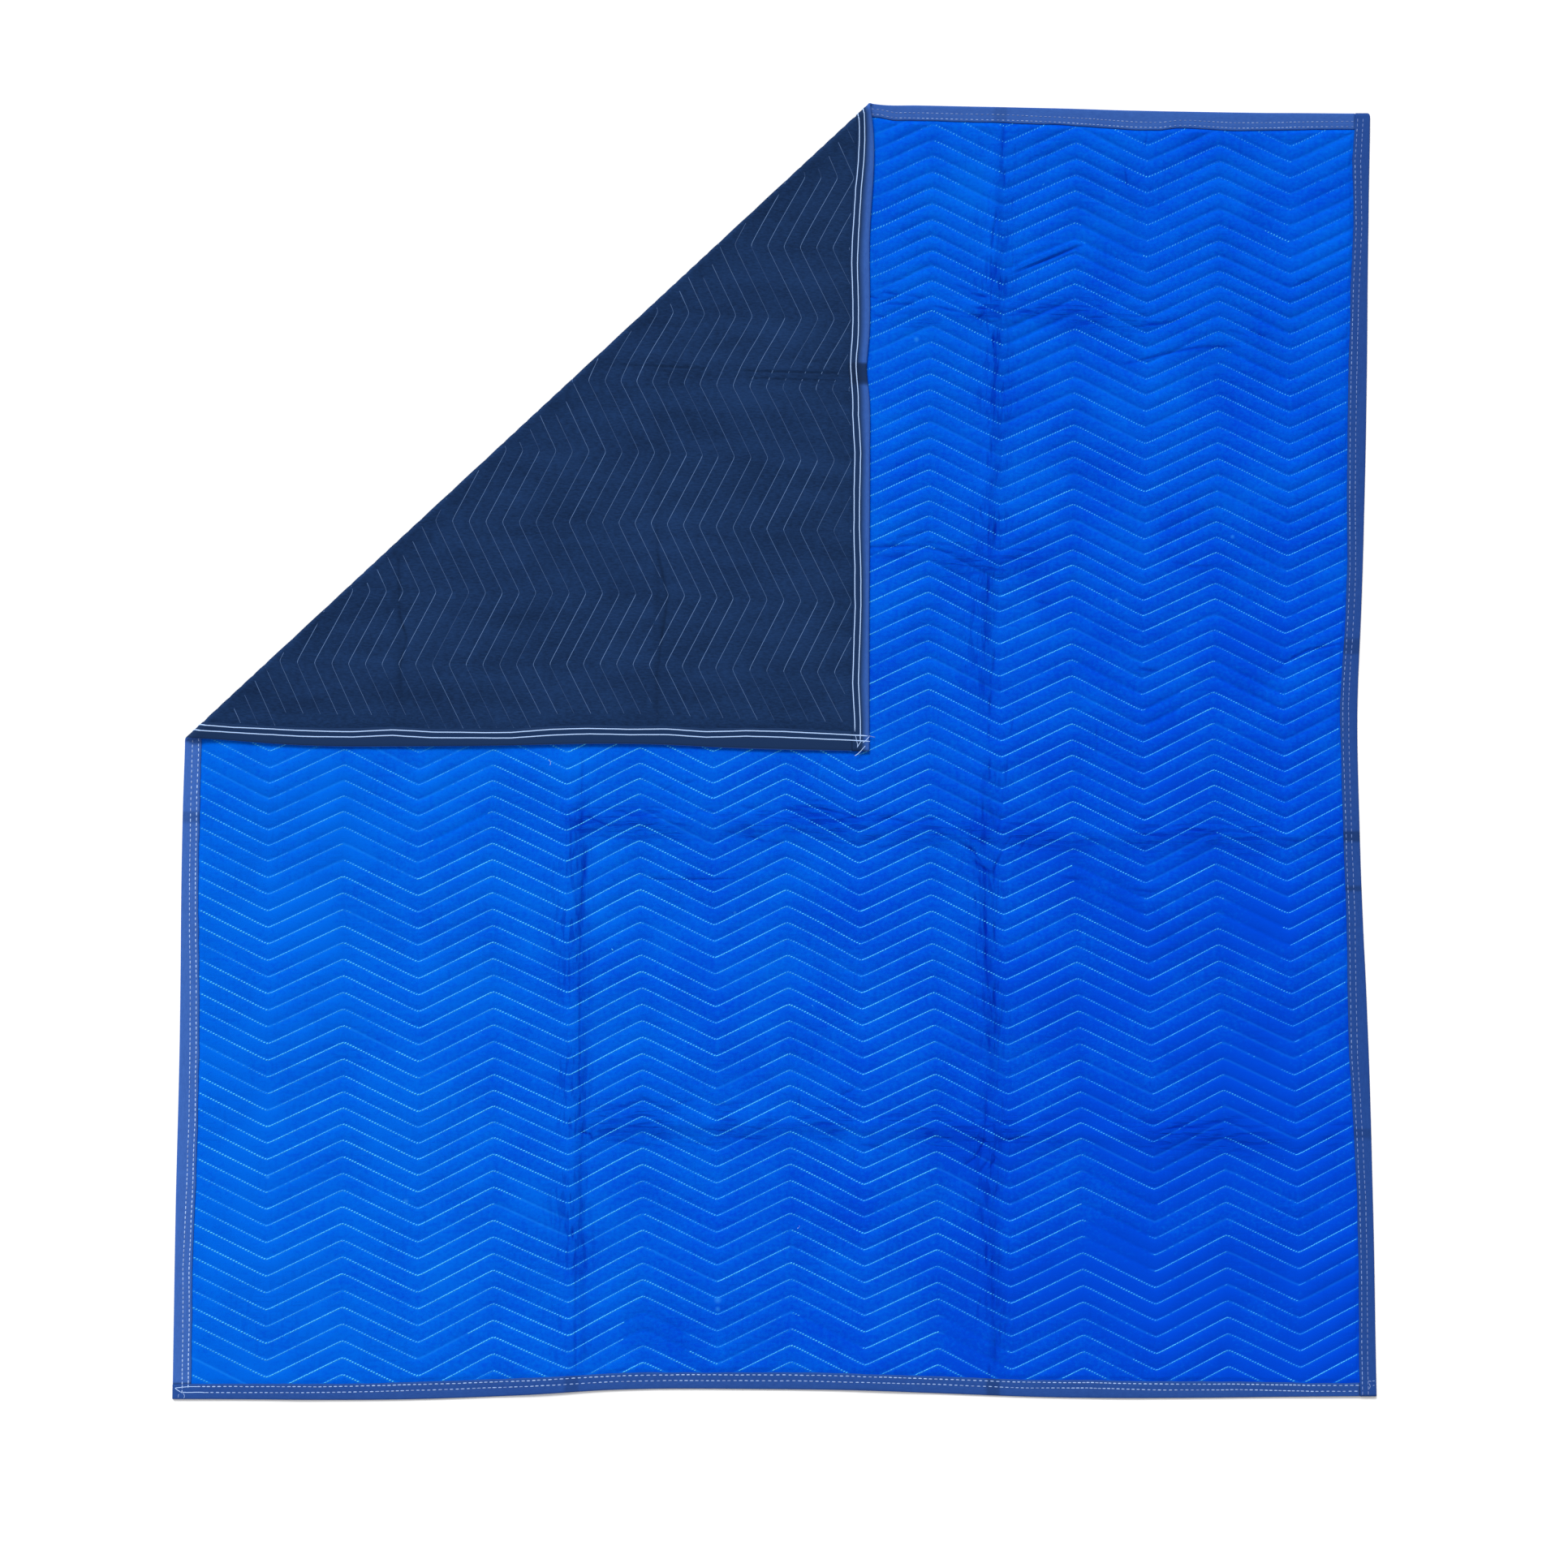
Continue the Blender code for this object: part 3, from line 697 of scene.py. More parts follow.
        (149, 1708, 231, 1719, 2.6, 1.2), (229, 1719, 297, 1702, 2.8, 1.1),
        (295, 1703, 346, 1700, 2.6, 0.6), (36, 1742, 76, 1724, 2.6, 0.5),
        (190, 1702, 262, 1706, 2.4, 0.6), (478, 1704, 521, 1690, 2.4, 0.5),
        (84, 1313, 124, 1311, 2.6, 0.9), (122, 1311, 166, 1320, 2.6, 1.0),
        (165, 1320, 201, 1309, 2.6, 1.1), (199, 1309, 286, 1305, 2.8, 0.9),
        (285, 1305, 304, 1295, 2.4, 0.7), (30, 1303, 62, 1306, 2.4, 0.5),
        (577, 1996, 578, 1835, 2.4, 0.8), (589, 1994, 589, 1825, 2.4, 1.0),
        (589, 1784, 590, 1640, 2.6, 0.8), (612, 2000, 606, 1930, 2.4, 0.5),
        (579, 1738, 585, 1690, 2.4, 0.6), (566, 1880, 568, 1850, 2.2, 0.4),
    ),
}


def off_and_along(crease, u, v):
    """Flat points as their places across a storage crease's run and along it."""
    return (u, v) if crease["runs"] == "up" else (v, u)


def within(crease, along, fade):
    """1 along a storage crease, falling to 0 at its ends over a distance in mm."""
    inside = np.minimum(along / MM - crease["start"], crease["end"] - along / MM)
    return np.clip(inside / fade, 0, 1)


def ridges(u, v):
    """Height of the storage creases on the flat cloth."""
    height = 0
    for crease in CREASES:
        off, along = off_and_along(crease, u, v)
        off = (off / MM - crease["at"]) / CREASE_WIDTH
        near = np.cos(pi * np.clip(off, -0.5, 0.5)) ** 2
        height = height + crease["height"] * MM * near * within(crease, along, CREASE_FADE)
    return height


def wrinkles(u, v):
    """Height and painted shade of all the wrinkles: troughs with slightly raised lips."""
    height, shade = np.zeros_like(u), np.zeros_like(u)
    for group in WRINKLES.values():
        for u0, v0, u1, v1, wide, deep in group:
            length = np.hypot(u1 - u0, v1 - v0)
            run, rise = (u1 - u0) / length, (v1 - v0) / length
            along = (u / MM - u0) * run + (v / MM - v0) * rise
            off = ((v / MM - v0) * run - (u / MM - u0) * rise) / wide
            near = (along > -2) & (along < length + 2) & (np.abs(off) < 3.5)
            taper = np.sin(pi * np.clip((along[near] + 2) / (length + 4), 0, 1)) ** 0.4
            bell = np.exp(-off[near] ** 2) * taper
            height[near] += deep * MM * (0.8 * off[near] ** 2 - 1) * bell
            shade[near] += bell * min(max(deep, 0) / 1.3, 1)
    return height, np.clip(shade, 0, 1)


def painted_crease_lines(u, v):
    """Painted shade: a thin, slightly wavering dark line along each storage crease."""
    shade = np.zeros_like(u)
    uneven = np.clip(0.8 + 0.5 * waves(u, v, "crease depth"), 0, 1)
    for crease in CREASES:
        off, along = off_and_along(crease, u, v)
        off = off / MM - crease["line"] - LINE_SWAY * waves(along, 0 * along, "crease path")
        near = np.exp(-((off / LINE_WIDTH) ** 2)) * within(crease, along, LINE_FADE) * uneven
        if crease["runs"] == "across":
            near = near * np.clip((1700 - u / MM) / 600, 0.2, 1)
        shade = np.maximum(shade, crease["dark"] * near)
    return shade


def rumpled(u, v):
    """How rumpled the cloth is beside creases that run across it, and beside those that run up."""
    found = {"across": np.zeros_like(u), "up": np.zeros_like(u)}
    for crease in CREASES:
        off, along = off_and_along(crease, u, v)
        near = np.exp(-(((off / MM - crease["at"]) / RUMPLED_WIDTH) ** 2))
        near = near * within(crease, along, LINE_FADE)
        found[crease["runs"]] = np.maximum(found[crease["runs"]], near)
    patchy = np.clip(0.7 + 0.7 * waves(u, v, "rumpled places"), 0, 1)
    everywhere = 0.26 * np.clip(0.4 + waves(u, v, "faint crinkles"), 0, 1)
    return [np.maximum(found[runs] * patchy, everywhere) for runs in ("across", "up")]


def relief(u, v):
    """How far the whole stack stands off its flat place."""
    x, y = laid_out(u, v)
    over, under = turned(x, y), covered(x, y)
    broad = np.maximum(0.9 * waves(u, v, "swell"), 0) * MM
    low = ridges(u, v) * np.where(over > 0.5, 1, 1 - under)
    main = np.maximum(low, 0) + broad * (1 - under)
    corner = np.minimum(low, 0) - 0.8 * broad
    return np.where(over > 0.5, corner, main)


def strayed(side, inwards, along):
    """How far in a point of a tape's section lies once the tape has strayed, from its even place."""
    places, ins = np.array(TAPES[side]["strays"], float).T * MM
    return inwards + np.interp(along, places, ins) * np.clip(inwards / (8 * MM), 0, 1)


def leg_at(side, back, along):
    """Width of a tape's leg at places along its edge."""
    return strayed(side, TAPES[side]["leg"][back] * MM, along)


def tape_free(u, v, back):
    """How far inside the tapes' inner edges a flat point lies."""
    across = np.minimum(u - leg_at("left", back, v), sizes().width - leg_at("right", back, v) - u)
    up = np.minimum(v - leg_at("bottom", back, u), sizes().length - leg_at("top", back, u) - v)
    return np.minimum(across, up) - TAPE_GAP


def face_height(u, v, share):
    """Height of the face cloth. Share is 0 at a stitched row and 1 where a channel is full."""
    x, y = laid_out(u, v)
    across, up = u / sizes().width, v / sizes().length
    bottom = PUFF["bottom_left"] + (PUFF["bottom_right"] - PUFF["bottom_left"]) * across
    top = PUFF["top_left"] + (PUFF["top_right"] - PUFF["top_left"]) * across
    puff = (bottom + (top - bottom) * up) * MM * (1 + 0.3 * waves(u, v, "face channels"))
    puff = puff + (COVERED_PUFF - puff) * covered(x, y)
    free = eased(tape_free(u, v, 0) / TAPE_EASE)
    pressed = sizes().stack / 2 - sizes().tape - TAPE_GAP
    height = pressed + (sizes().sewn_level + puff * share - pressed) * free
    return height + relief(u, v) + wrinkles(u, v)[0] * (1 - turned(x, y)) * free


def back_height(u, v, share):
    """Height of the back cloth, which is negative on the flat stack."""
    over = turned(*laid_out(u, v))
    half = sizes().stack / 2
    corner_puff = BACK_PUFF * (1 + 0.3 * waves(u, v, "back channels"))
    puff = FLOOR_PUFF + (corner_puff - FLOOR_PUFF) * over
    sewn = half - FLOOR_PUFF + (sizes().sewn_level - half + FLOOR_PUFF) * over
    free = eased(tape_free(u, v, 1) / TAPE_EASE)
    pressed = half - sizes().tape - TAPE_GAP
    height = pressed + (sewn + puff * share - pressed) * free
    return -height + relief(u, v) - wrinkles(u, v)[0] * over * free


# ------------------------------------------------------------------------ mesh helpers


def coordinates(mesh):
    """A mesh's vertices as an array."""
    found = np.empty(len(mesh.vertices) * 3)
    mesh.vertices.foreach_get("co", found)
    return found.reshape(-1, 3)


def set_coordinates(mesh, points):
    """Move a mesh's vertices."""
    mesh.vertices.foreach_set("co", np.ascontiguousarray(points, float).ravel())
    mesh.update()


def loop_vertices(mesh):
    """The vertex of each face corner."""
    found = np.empty(len(mesh.loops), int)
    mesh.loops.foreach_get("vertex_index", found)
    return found


def set_map(mesh, u, v, name="flat_cloth"):
    """Give a mesh one UV map, in metres, from values at its vertices."""
    while mesh.uv_layers:
        mesh.uv_layers.remove(mesh.uv_layers[0])
    layer = mesh.uv_layers.new(name=name, do_init=False)
    at = loop_vertices(mesh)
    layer.uv.foreach_set("vector", np.column_stack((u[at], v[at])).ravel())


def map_at_vertices(mesh):
    """A mesh's UV map as values at its vertices."""
    found = np.empty(len(mesh.loops) * 2)
    mesh.uv_layers[0].uv.foreach_get("vector", found)
    at_vertices = np.zeros((len(mesh.vertices), 2))
    at_vertices[loop_vertices(mesh)] = found.reshape(-1, 2)
    return at_vertices.T


def set_attribute(mesh, name, values):
    """Store a value at each vertex."""
    layer = mesh.attributes.new(name, "FLOAT", "POINT")
    layer.data.foreach_set("value", np.asarray(values, np.float32))


def new_grid(name, columns, rows):
    """A grid as a new object, with each vertex's column and row."""
    bpy.ops.object.select_all(action="DESELECT")
    bpy.ops.mesh.primitive_grid_add(x_subdivisions=columns, y_subdivisions=rows, size=2)
    piece = bpy.context.object
    piece.name = piece.data.name = name
    points = coordinates(piece.data)
    column = np.rint((points[:, 0] + 1) / 2 * columns).astype(int)
    row = np.rint((points[:, 1] + 1) / 2 * rows).astype(int)
    if len(points) != (columns + 1) * (rows + 1):
        raise RuntimeError(f"{name}: the grid has {len(points)} vertices")
    return piece, column, row


def cut(mesh, cuts):
    """Divide a mesh where each plane meets it. A cut is (point, normal, side to clear)."""
    work = bmesh.new()
    work.from_mesh(mesh)
    for point, normal, clear in cuts:
        everything = work.verts[:] + work.edges[:] + work.faces[:]
        bmesh.ops.bisect_plane(work, geom=everything, plane_co=point, plane_no=normal,
                               dist=0.01 * MM, clear_inner=clear == "inner",
                               clear_outer=clear == "outer")
    work.to_mesh(mesh)
    work.free()
    mesh.update()


def cut_wrinkles(mesh, groups):
    """Divide the flat cloth along the middle and both sides of each wrinkle of some groups."""
    work = bmesh.new()
    work.from_mesh(mesh)
    for group in groups:
        ends = np.array([row[:4] for row in group]).reshape(-1, 2)
        low, high = (ends.min(0) - 30) * MM, (ends.max(0) + 30) * MM
        faces = [face for face in work.faces
                 if low[0] < face.verts[0].co.x < high[0] and low[1] < face.verts[0].co.y < high[1]]
        centres = np.array([face.verts[0].co.xy for face in faces])
        for u0, v0, u1, v1, wide, _ in group:
            start, run = Vector((u0, v0, 0)) * MM, Vector((u1 - u0, v1 - v0, 0)) * MM
            length = run.length
            run = run / length
            normal = Vector((-run.y, run.x, 0))
            along = (centres - start.xy) @ run.xy
            off = np.abs((centres - start.xy) @ normal.xy)
            near = np.flatnonzero((off < 15 * MM) & (along > -8 * MM) & (along < length + 8 * MM))
            near = {faces[i] for i in near}
            known = set(near)
            for offset in WRINKLE_CUTS:
                geometry = list({item for face in near for item in (face, *face.edges, *face.verts)})
                point = start + normal * (offset * wide * MM)
                found = bmesh.ops.bisect_plane(work, geom=geometry, plane_co=point, plane_no=normal,
                                               dist=0.01 * MM)
                near |= {item for item in found["geom"] if isinstance(item, bmesh.types.BMFace)}
            added = list(near - known)
            if added:
                faces += added
                centres = np.concatenate((centres, [face.verts[0].co.xy for face in added]))
    work.to_mesh(mesh)
    work.free()
    mesh.update()


def finish_mesh(piece, material, replaces=()):
    """Smooth a finished piece, give it its material and put it on the blanket's body."""
    piece.data.materials.clear()
    piece.data.materials.append(material)
    piece.data.polygons.foreach_set("use_smooth", np.ones(len(piece.data.polygons), bool))
    piece.data.update()
    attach(piece, "root")
    if replaces:
        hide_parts(*replaces)
    return piece


def thread_piece(name, flat, faces, faint, material):
    """A piece of thread, from its flat points, its faces and how faint each point is."""
    mesh = bpy.data.meshes.new(name)
    mesh.from_pydata(placed(*flat).tolist(), [], faces)
    mesh.validate()
    piece = bpy.data.objects.new(name, mesh)
    bpy.context.scene.collection.objects.link(piece)
    set_attribute(mesh, "faint", faint)
    return finish_mesh(piece, material)


# --------------------------------------------------------------------------- materials


def new_material(name):
    """An empty node material with its Principled shader."""
    material = bpy.data.materials.new(name)
    material.use_nodes = True
    return material, material.node_tree, material.node_tree.nodes["Principled BSDF"]


def node(tree, kind, **settings):
    """Add a node. A setting is the node's own property, or else an input's value."""
    made = tree.nodes.new(kind)
    for key, value in settings.items():
        if hasattr(made, key):
            setattr(made, key, value)
        else:
            made.inputs[key.replace("_", " ")].default_value = value
    return made


def math(tree, operation, first, second=0.5, third=None):
    """A Math node. Each value is a number or an output socket."""
    made = node(tree, "ShaderNodeMath", operation=operation)
    for i, value in enumerate((first, second, third)):
        if value is None:
            continue
        if isinstance(value, bpy.types.NodeSocket):
            tree.links.new(value, made.inputs[i])
        else:
            made.inputs[i].default_value = value
    return made.outputs[0]


def textured(tree, kind, vector, **settings):
    """A texture node that reads a vector."""
    made = node(tree, kind, **settings)
    tree.links.new(vector, made.inputs["Vector"])
    return made


def ranged(tree, value, **limits):
    """The output of a Map Range node that reads a value."""
    made = node(tree, "ShaderNodeMapRange", **limits)
    tree.links.new(value, made.inputs["Value"])
    return made.outputs[0]


def swung(tree, value, gain, base):
    """A base value, raised and lowered by a mask that lies round 0.5."""
    return math(tree, "MULTIPLY_ADD", math(tree, "SUBTRACT", value, 0.5), gain, base)


def mixed(tree, share, first, second, blend="MIX"):
    """A colour Mix node. Each value is a colour, a number or an output socket."""
    made = tree.nodes.new("ShaderNodeMix")
    made.data_type, made.blend_type, made.clamp_factor = "RGBA", blend, True
    for socket, value in ((0, share), (6, first), (7, second)):
        if isinstance(value, bpy.types.NodeSocket):
            tree.links.new(value, made.inputs[socket])
        elif isinstance(value, (int, float)):
            made.inputs[socket].default_value = value
        else:
            made.inputs[socket].default_value = (*value, 1)
    return made.outputs[2]


def new_group(name, inputs, outputs):
    """A shader node group with its named sockets: (name, type, default) and (name, type)."""
    group = bpy.data.node_groups.new(name, "ShaderNodeTree")
    for label, kind, default in inputs:
        socket = group.interface.new_socket(label, in_out="INPUT", socket_type=kind)
        if default is not None:
            socket.default_value = default
    for label, kind in outputs:
        group.interface.new_socket(label, in_out="OUTPUT", socket_type=kind)
    return group, group.nodes.new("NodeGroupInput"), group.nodes.new("NodeGroupOutput")


def weave_group():
    """Plain weave over a map in metres: how high the yarns stand."""
    if "cloth_weave" in bpy.data.node_groups:
        return bpy.data.node_groups["cloth_weave"]
    group, inside, outside = new_group(
        "cloth_weave",
        (("Map", "NodeSocketVector", None), ("Yarns Per Metre", "NodeSocketFloat", 1400.0),
         ("Unevenness", "NodeSocketFloat", 0.3)),
        (("Height", "NodeSocketFloat"),),
    )
    link = group.links.new
    wobble = textured(group, "ShaderNodeTexNoise", inside.outputs["Map"], Scale=260.0, Detail=2.0)
    scaled = node(group, "ShaderNodeVectorMath", operation="SCALE")
    link(inside.outputs["Map"], scaled.inputs[0])
    link(inside.outputs["Yarns Per Metre"], scaled.inputs["Scale"])
    apart = node(group, "ShaderNodeSeparateXYZ")
    link(scaled.outputs[0], apart.inputs[0])
    warp, weft = (math(group, "ABSOLUTE", math(group, "SINE", math(group, "MULTIPLY", part, pi)))
                  for part in apart.outputs[:2])
    checker = textured(group, "ShaderNodeTexChecker", scaled.outputs[0], Scale=1.0)
    over = mixed(group, checker.outputs["Fac"], warp, weft)
    uneven = math(group, "MULTIPLY", wobble.outputs["Fac"], inside.outputs["Unevenness"])
    link(math(group, "ADD", over, uneven), outside.inputs["Height"])
    return group


def mottle_group():
    """Uneven, slightly brushed cloth: a broad mask, a fine one and one of small light specks."""
    if "cloth_mottle" in bpy.data.node_groups:
        return bpy.data.node_groups["cloth_mottle"]
    group, inside, outside = new_group(
        "cloth_mottle",
        (("Map", "NodeSocketVector", None), ("Stretch", "NodeSocketVector", (1.0, 1.0, 1.0))),
        (("Broad", "NodeSocketFloat"), ("Fine", "NodeSocketFloat"), ("Specks", "NodeSocketFloat")),
    )
    link = group.links.new
    stretched = node(group, "ShaderNodeVectorMath", operation="MULTIPLY")
    link(inside.outputs["Map"], stretched.inputs[0])
    link(inside.outputs["Stretch"], stretched.inputs[1])
    place = stretched.outputs[0]
    broad = textured(group, "ShaderNodeTexNoise", place, Scale=7.0, Detail=5.0, Roughness=0.62)
    fine = textured(group, "ShaderNodeTexNoise", place, Scale=140.0, Detail=5.0, Roughness=0.7)
    specks = textured(group, "ShaderNodeTexVoronoi", place, Scale=70.0, Randomness=1.0)
    link(broad.outputs["Fac"], outside.inputs["Broad"])
    link(fine.outputs["Fac"], outside.inputs["Fine"])
    dots = ranged(group, specks.outputs["Distance"], From_Min=0.055, From_Max=0.02)
    chosen = math(group, "GREATER_THAN", specks.outputs["Color"], 0.66)
    link(math(group, "MULTIPLY", dots, chosen), outside.inputs["Specks"])
    return group


def crinkle_group():
    """Soft crinkles beside the creases: how deep they are, from 0 to 1."""
    if "cloth_crinkles" in bpy.data.node_groups:
        return bpy.data.node_groups["cloth_crinkles"]
    group, inside, outside = new_group(
        "cloth_crinkles",
        (("Map", "NodeSocketVector", None), ("Across", "NodeSocketFloat", 0.0),
         ("Up", "NodeSocketFloat", 0.0)),
        (("Depth", "NodeSocketFloat"),),
    )
    depths = []
    for share, stretch in (("Across", (24.0, 150.0, 1.0)), ("Up", (150.0, 24.0, 1.0))):
        stretched = node(group, "ShaderNodeVectorMath", operation="MULTIPLY")
        stretched.inputs[1].default_value = stretch
        group.links.new(inside.outputs["Map"], stretched.inputs[0])
        noise = textured(group, "ShaderNodeTexNoise", stretched.outputs[0], Scale=1.0, Detail=2.0,
                         Roughness=0.45, Distortion=0.3)
        line = ranged(group, noise.outputs["Fac"], interpolation_type="SMOOTHSTEP",
                      From_Min=0.53, From_Max=0.38)
        depths.append(math(group, "MULTIPLY", line, inside.outputs[share]))
    group.links.new(math(group, "MAXIMUM", *depths), outside.inputs["Depth"])
    return group


def placed_group(tree, group, map_socket, **values):
    """A node of a group in a material, fed by a map."""
    made = node(tree, "ShaderNodeGroup", node_tree=group)
    tree.links.new(map_socket, made.inputs["Map"])
    for key, value in values.items():
        made.inputs[key.replace("_", " ")].default_value = value
    return made


def dress(tree, shader, colour, height, roughness, specular, strength, depth):
    """Give a shader its colour, its sheen, and a bump of a height that is a depth in mm."""
    tree.links.new(colour, shader.inputs["Base Color"])
    shader.inputs["Roughness"].default_value = roughness
    shader.inputs["Specular IOR Level"].default_value = specular
    bump = node(tree, "ShaderNodeBump", Strength=strength, Distance=depth * MM)
    tree.links.new(height, bump.inputs["Height"])
    tree.links.new(bump.outputs[0], shader.inputs["Normal"])


def dimmed(colour, share):
    """A colour times a number."""
    return tuple(share * value for value in colour)


def cloth_map(tree):
    """The output that gives a piece's map in metres."""
    return node(tree, "ShaderNodeUVMap", uv_map="flat_cloth").outputs[0]


def attribute(tree, name):
    """The output of a vertex value."""
    return node(tree, "ShaderNodeAttribute", attribute_name=name).outputs["Fac"]


def face_material():
    """Brushed royal blue cotton, with painted light across it and painted shade at its creases."""
    colours = bpy.context.scene.blanket_colours
    material, tree, shader = new_material("face_cloth")
    flat = cloth_map(tree)
    mottle = placed_group(tree, mottle_group(), flat, Stretch=(1.0, 1.25, 1.0))
    broad, fine, specks = mottle.outputs
    weave = placed_group(tree, weave_group(), flat, Yarns_Per_Metre=1500.0)
    parts = node(tree, "ShaderNodeSeparateXYZ")
    tree.links.new(flat, parts.inputs[0])
    # Painted light: the cloth is brightest at the left and deepest at the lower right, where less
    # light falls; the broad mottle adds uneven tone of its own.
    rightward = ranged(tree, parts.outputs[0], From_Min=0.1, From_Max=1.5)
    upward = ranged(tree, parts.outputs[1], From_Min=0.2, From_Max=1.9, To_Min=1.1, To_Max=0.5)
    deep = swung(tree, broad, 1.6, math(tree, "MULTIPLY", rightward, upward))
    colour = mixed(tree, swung(tree, fine, 2.1, deep), colours.face, colours.face_deep)
    glow = math(tree, "MULTIPLY", attribute(tree, "thread_glow"), 0.34)
    colour = mixed(tree, glow, colour, TINTS["thread glow"])
    crinkles = placed_group(tree, crinkle_group(), flat)
    across, up = attribute(tree, "rumpled_across"), attribute(tree, "rumpled_up")
    tree.links.new(across, crinkles.inputs["Across"])
    tree.links.new(up, crinkles.inputs["Up"])
    depth = crinkles.outputs["Depth"]
    # Painted shade: the cloth is darker beside the creases, in the crinkles, and in the wrinkles and
    # crease lines.
    painted_crease_shade = math(tree, "MULTIPLY", math(tree, "MAXIMUM", across, up), 0.22)
    painted_crease_shade = math(tree, "MULTIPLY_ADD", depth, 0.38, painted_crease_shade)
    painted_crease_shade = math(tree, "MULTIPLY_ADD", attribute(tree, "crease"), 0.6, painted_crease_shade)
    colour = mixed(tree, painted_crease_shade, colour, TINTS["crease"])
    for u, v, half in PALE_PATCHES:
        apart = node(tree, "ShaderNodeVectorMath", operation="DISTANCE")
        tree.links.new(flat, apart.inputs[0])
        apart.inputs[1].default_value = (u * MM, v * MM, 0)
        pale = ranged(tree, apart.outputs["Value"], From_Min=half * MM,
                      From_Max=0.2 * half * MM, To_Max=0.45)
        colour = mixed(tree, math(tree, "MULTIPLY", pale, fine), colour, TINTS["rubbed nap"])
    colour = mixed(tree, math(tree, "MULTIPLY", specks, 0.42), colour, TINTS["speck"])
    height = math(tree, "MULTIPLY_ADD", fine, 3.2, weave.outputs["Height"])
    height = math(tree, "MULTIPLY_ADD", depth, -5.0, height)
    dress(tree, shader, colour, height, roughness=0.95, specular=0.02, strength=0.7, depth=0.16)
    return material


def back_material():
    """Navy cotton with a slubby weave, and painted shade in its wrinkles."""
    navy = bpy.context.scene.blanket_colours.back
    material, tree, shader = new_material("back_cloth")
    flat = cloth_map(tree)
    mottle = placed_group(tree, mottle_group(), flat, Stretch=(3.0, 0.8, 1.0))
    broad, fine, _ = mottle.outputs
    weave = placed_group(tree, weave_group(), flat, Yarns_Per_Metre=1200.0)
    shade = swung(tree, fine, 2.8, swung(tree, broad, 1.9, 0.5))
    colour = mixed(tree, shade, dimmed(navy, 0.72), dimmed(navy, 1.35))
    # Painted shade in the wrinkles and along the creases of the turned corner.
    painted_crease_shade = math(tree, "MULTIPLY", attribute(tree, "crease"), 0.55)
    colour = mixed(tree, painted_crease_shade, colour, dimmed(navy, 0.3))
    height = math(tree, "MULTIPLY_ADD", fine, 2.5, weave.outputs["Height"])
    dress(tree, shader, colour, height, roughness=0.92, specular=0.05, strength=0.6, depth=0.14)
    return material


def tape_material():
    """Ribbed slate blue tape, navy on the parts of its back that are turned in."""
    colours = bpy.context.scene.blanket_colours
    material, tree, shader = new_material("binding_tape")
    flat = cloth_map(tree)
    mottle = placed_group(tree, mottle_group(), flat, Stretch=(2.5, 0.8, 1.0))
    broad, fine, _ = mottle.outputs
    ribs = textured(tree, "ShaderNodeTexWave", flat, Scale=420.0, Distortion=1.2, Detail_Scale=3.0,
                    bands_direction="Y")
    # Painted light: each tape is mixed towards its deep colour by how little light falls on its side of
    # the blanket.
    colour = mixed(tree, attribute(tree, "deep"), colours.tape, colours.tape_deep)
    shade = math(tree, "MULTIPLY", swung(tree, fine, 2.4, broad), 0.8)
    colour = mixed(tree, shade, colour, TINTS["tape mottle"], "MULTIPLY")
    colour = mixed(tree, attribute(tree, "navy"), colour, colours.back)
    shade = math(tree, "MULTIPLY", attribute(tree, "shade"), 0.85)
    colour = mixed(tree, shade, colour, TINTS["tape shade"])
    height = math(tree, "MULTIPLY_ADD", fine, 1.2, ribs.outputs["Fac"])
    dress(tree, shader, colour, height, roughness=0.85, specular=0.08, strength=0.5, depth=0.12)
    return material


def thread_material(name, thread):
    """Spun thread that is fainter in some stretches. Thread is its colour's name."""
    colour = getattr(bpy.context.scene.blanket_colours, thread)
    material, tree, shader = new_material(name)
    place = node(tree, "ShaderNodeTexCoord").outputs["Object"]
    grain = textured(tree, "ShaderNodeTexNoise", place, Scale=900.0, Detail=3.0).outputs["Fac"]
    tint = mixed(tree, attribute(tree, "faint"), colour, TINTS[thread])
    tint = mixed(tree, math(tree, "MULTIPLY", grain, 0.35), tint, dimmed(colour, 0.6))
    dress(tree, shader, tint, grain, roughness=0.8, specular=0.1, strength=0.4, depth=0.1)
    return material


# ------------------------------------------------------------------------------ cloths


def columns_across():
    """Places of the grid's columns, closer together beside the two long creases."""
    spacing = sizes().kink_spacing
    first = PEAK_AT * MM - HALVES * spacing
    count = 2 * HALVES * COLUMNS_PER_HALF
    lines = [first + i * spacing / COLUMNS_PER_HALF for i in range(count + 1)]
    for crease in FINE_COLUMNS:
        lines = [line for line in lines if abs(line - crease * MM) > 17 * MM]
        lines += [(crease + step) * MM for step in range(-15, 16, 3)]
    return np.array(sorted(lines))


def thread_glow(level, u, v):
    """How much the fuzz of a row's thread lightens the cloth beside it."""
    row = np.round(level)
    place = u / sizes().width + 0.7 * v / sizes().length
    glow = np.clip(1 - 8 * np.abs(level - row), 0, 1) * np.clip(1 - 0.45 * place, 0, 1)
    for first, last, start, end in BARE_ROWS:
        bare = (row >= first) & (row <= last) & (u > start * MM) & (u < end * MM)
        glow = np.where(bare, 0, glow)
    return glow


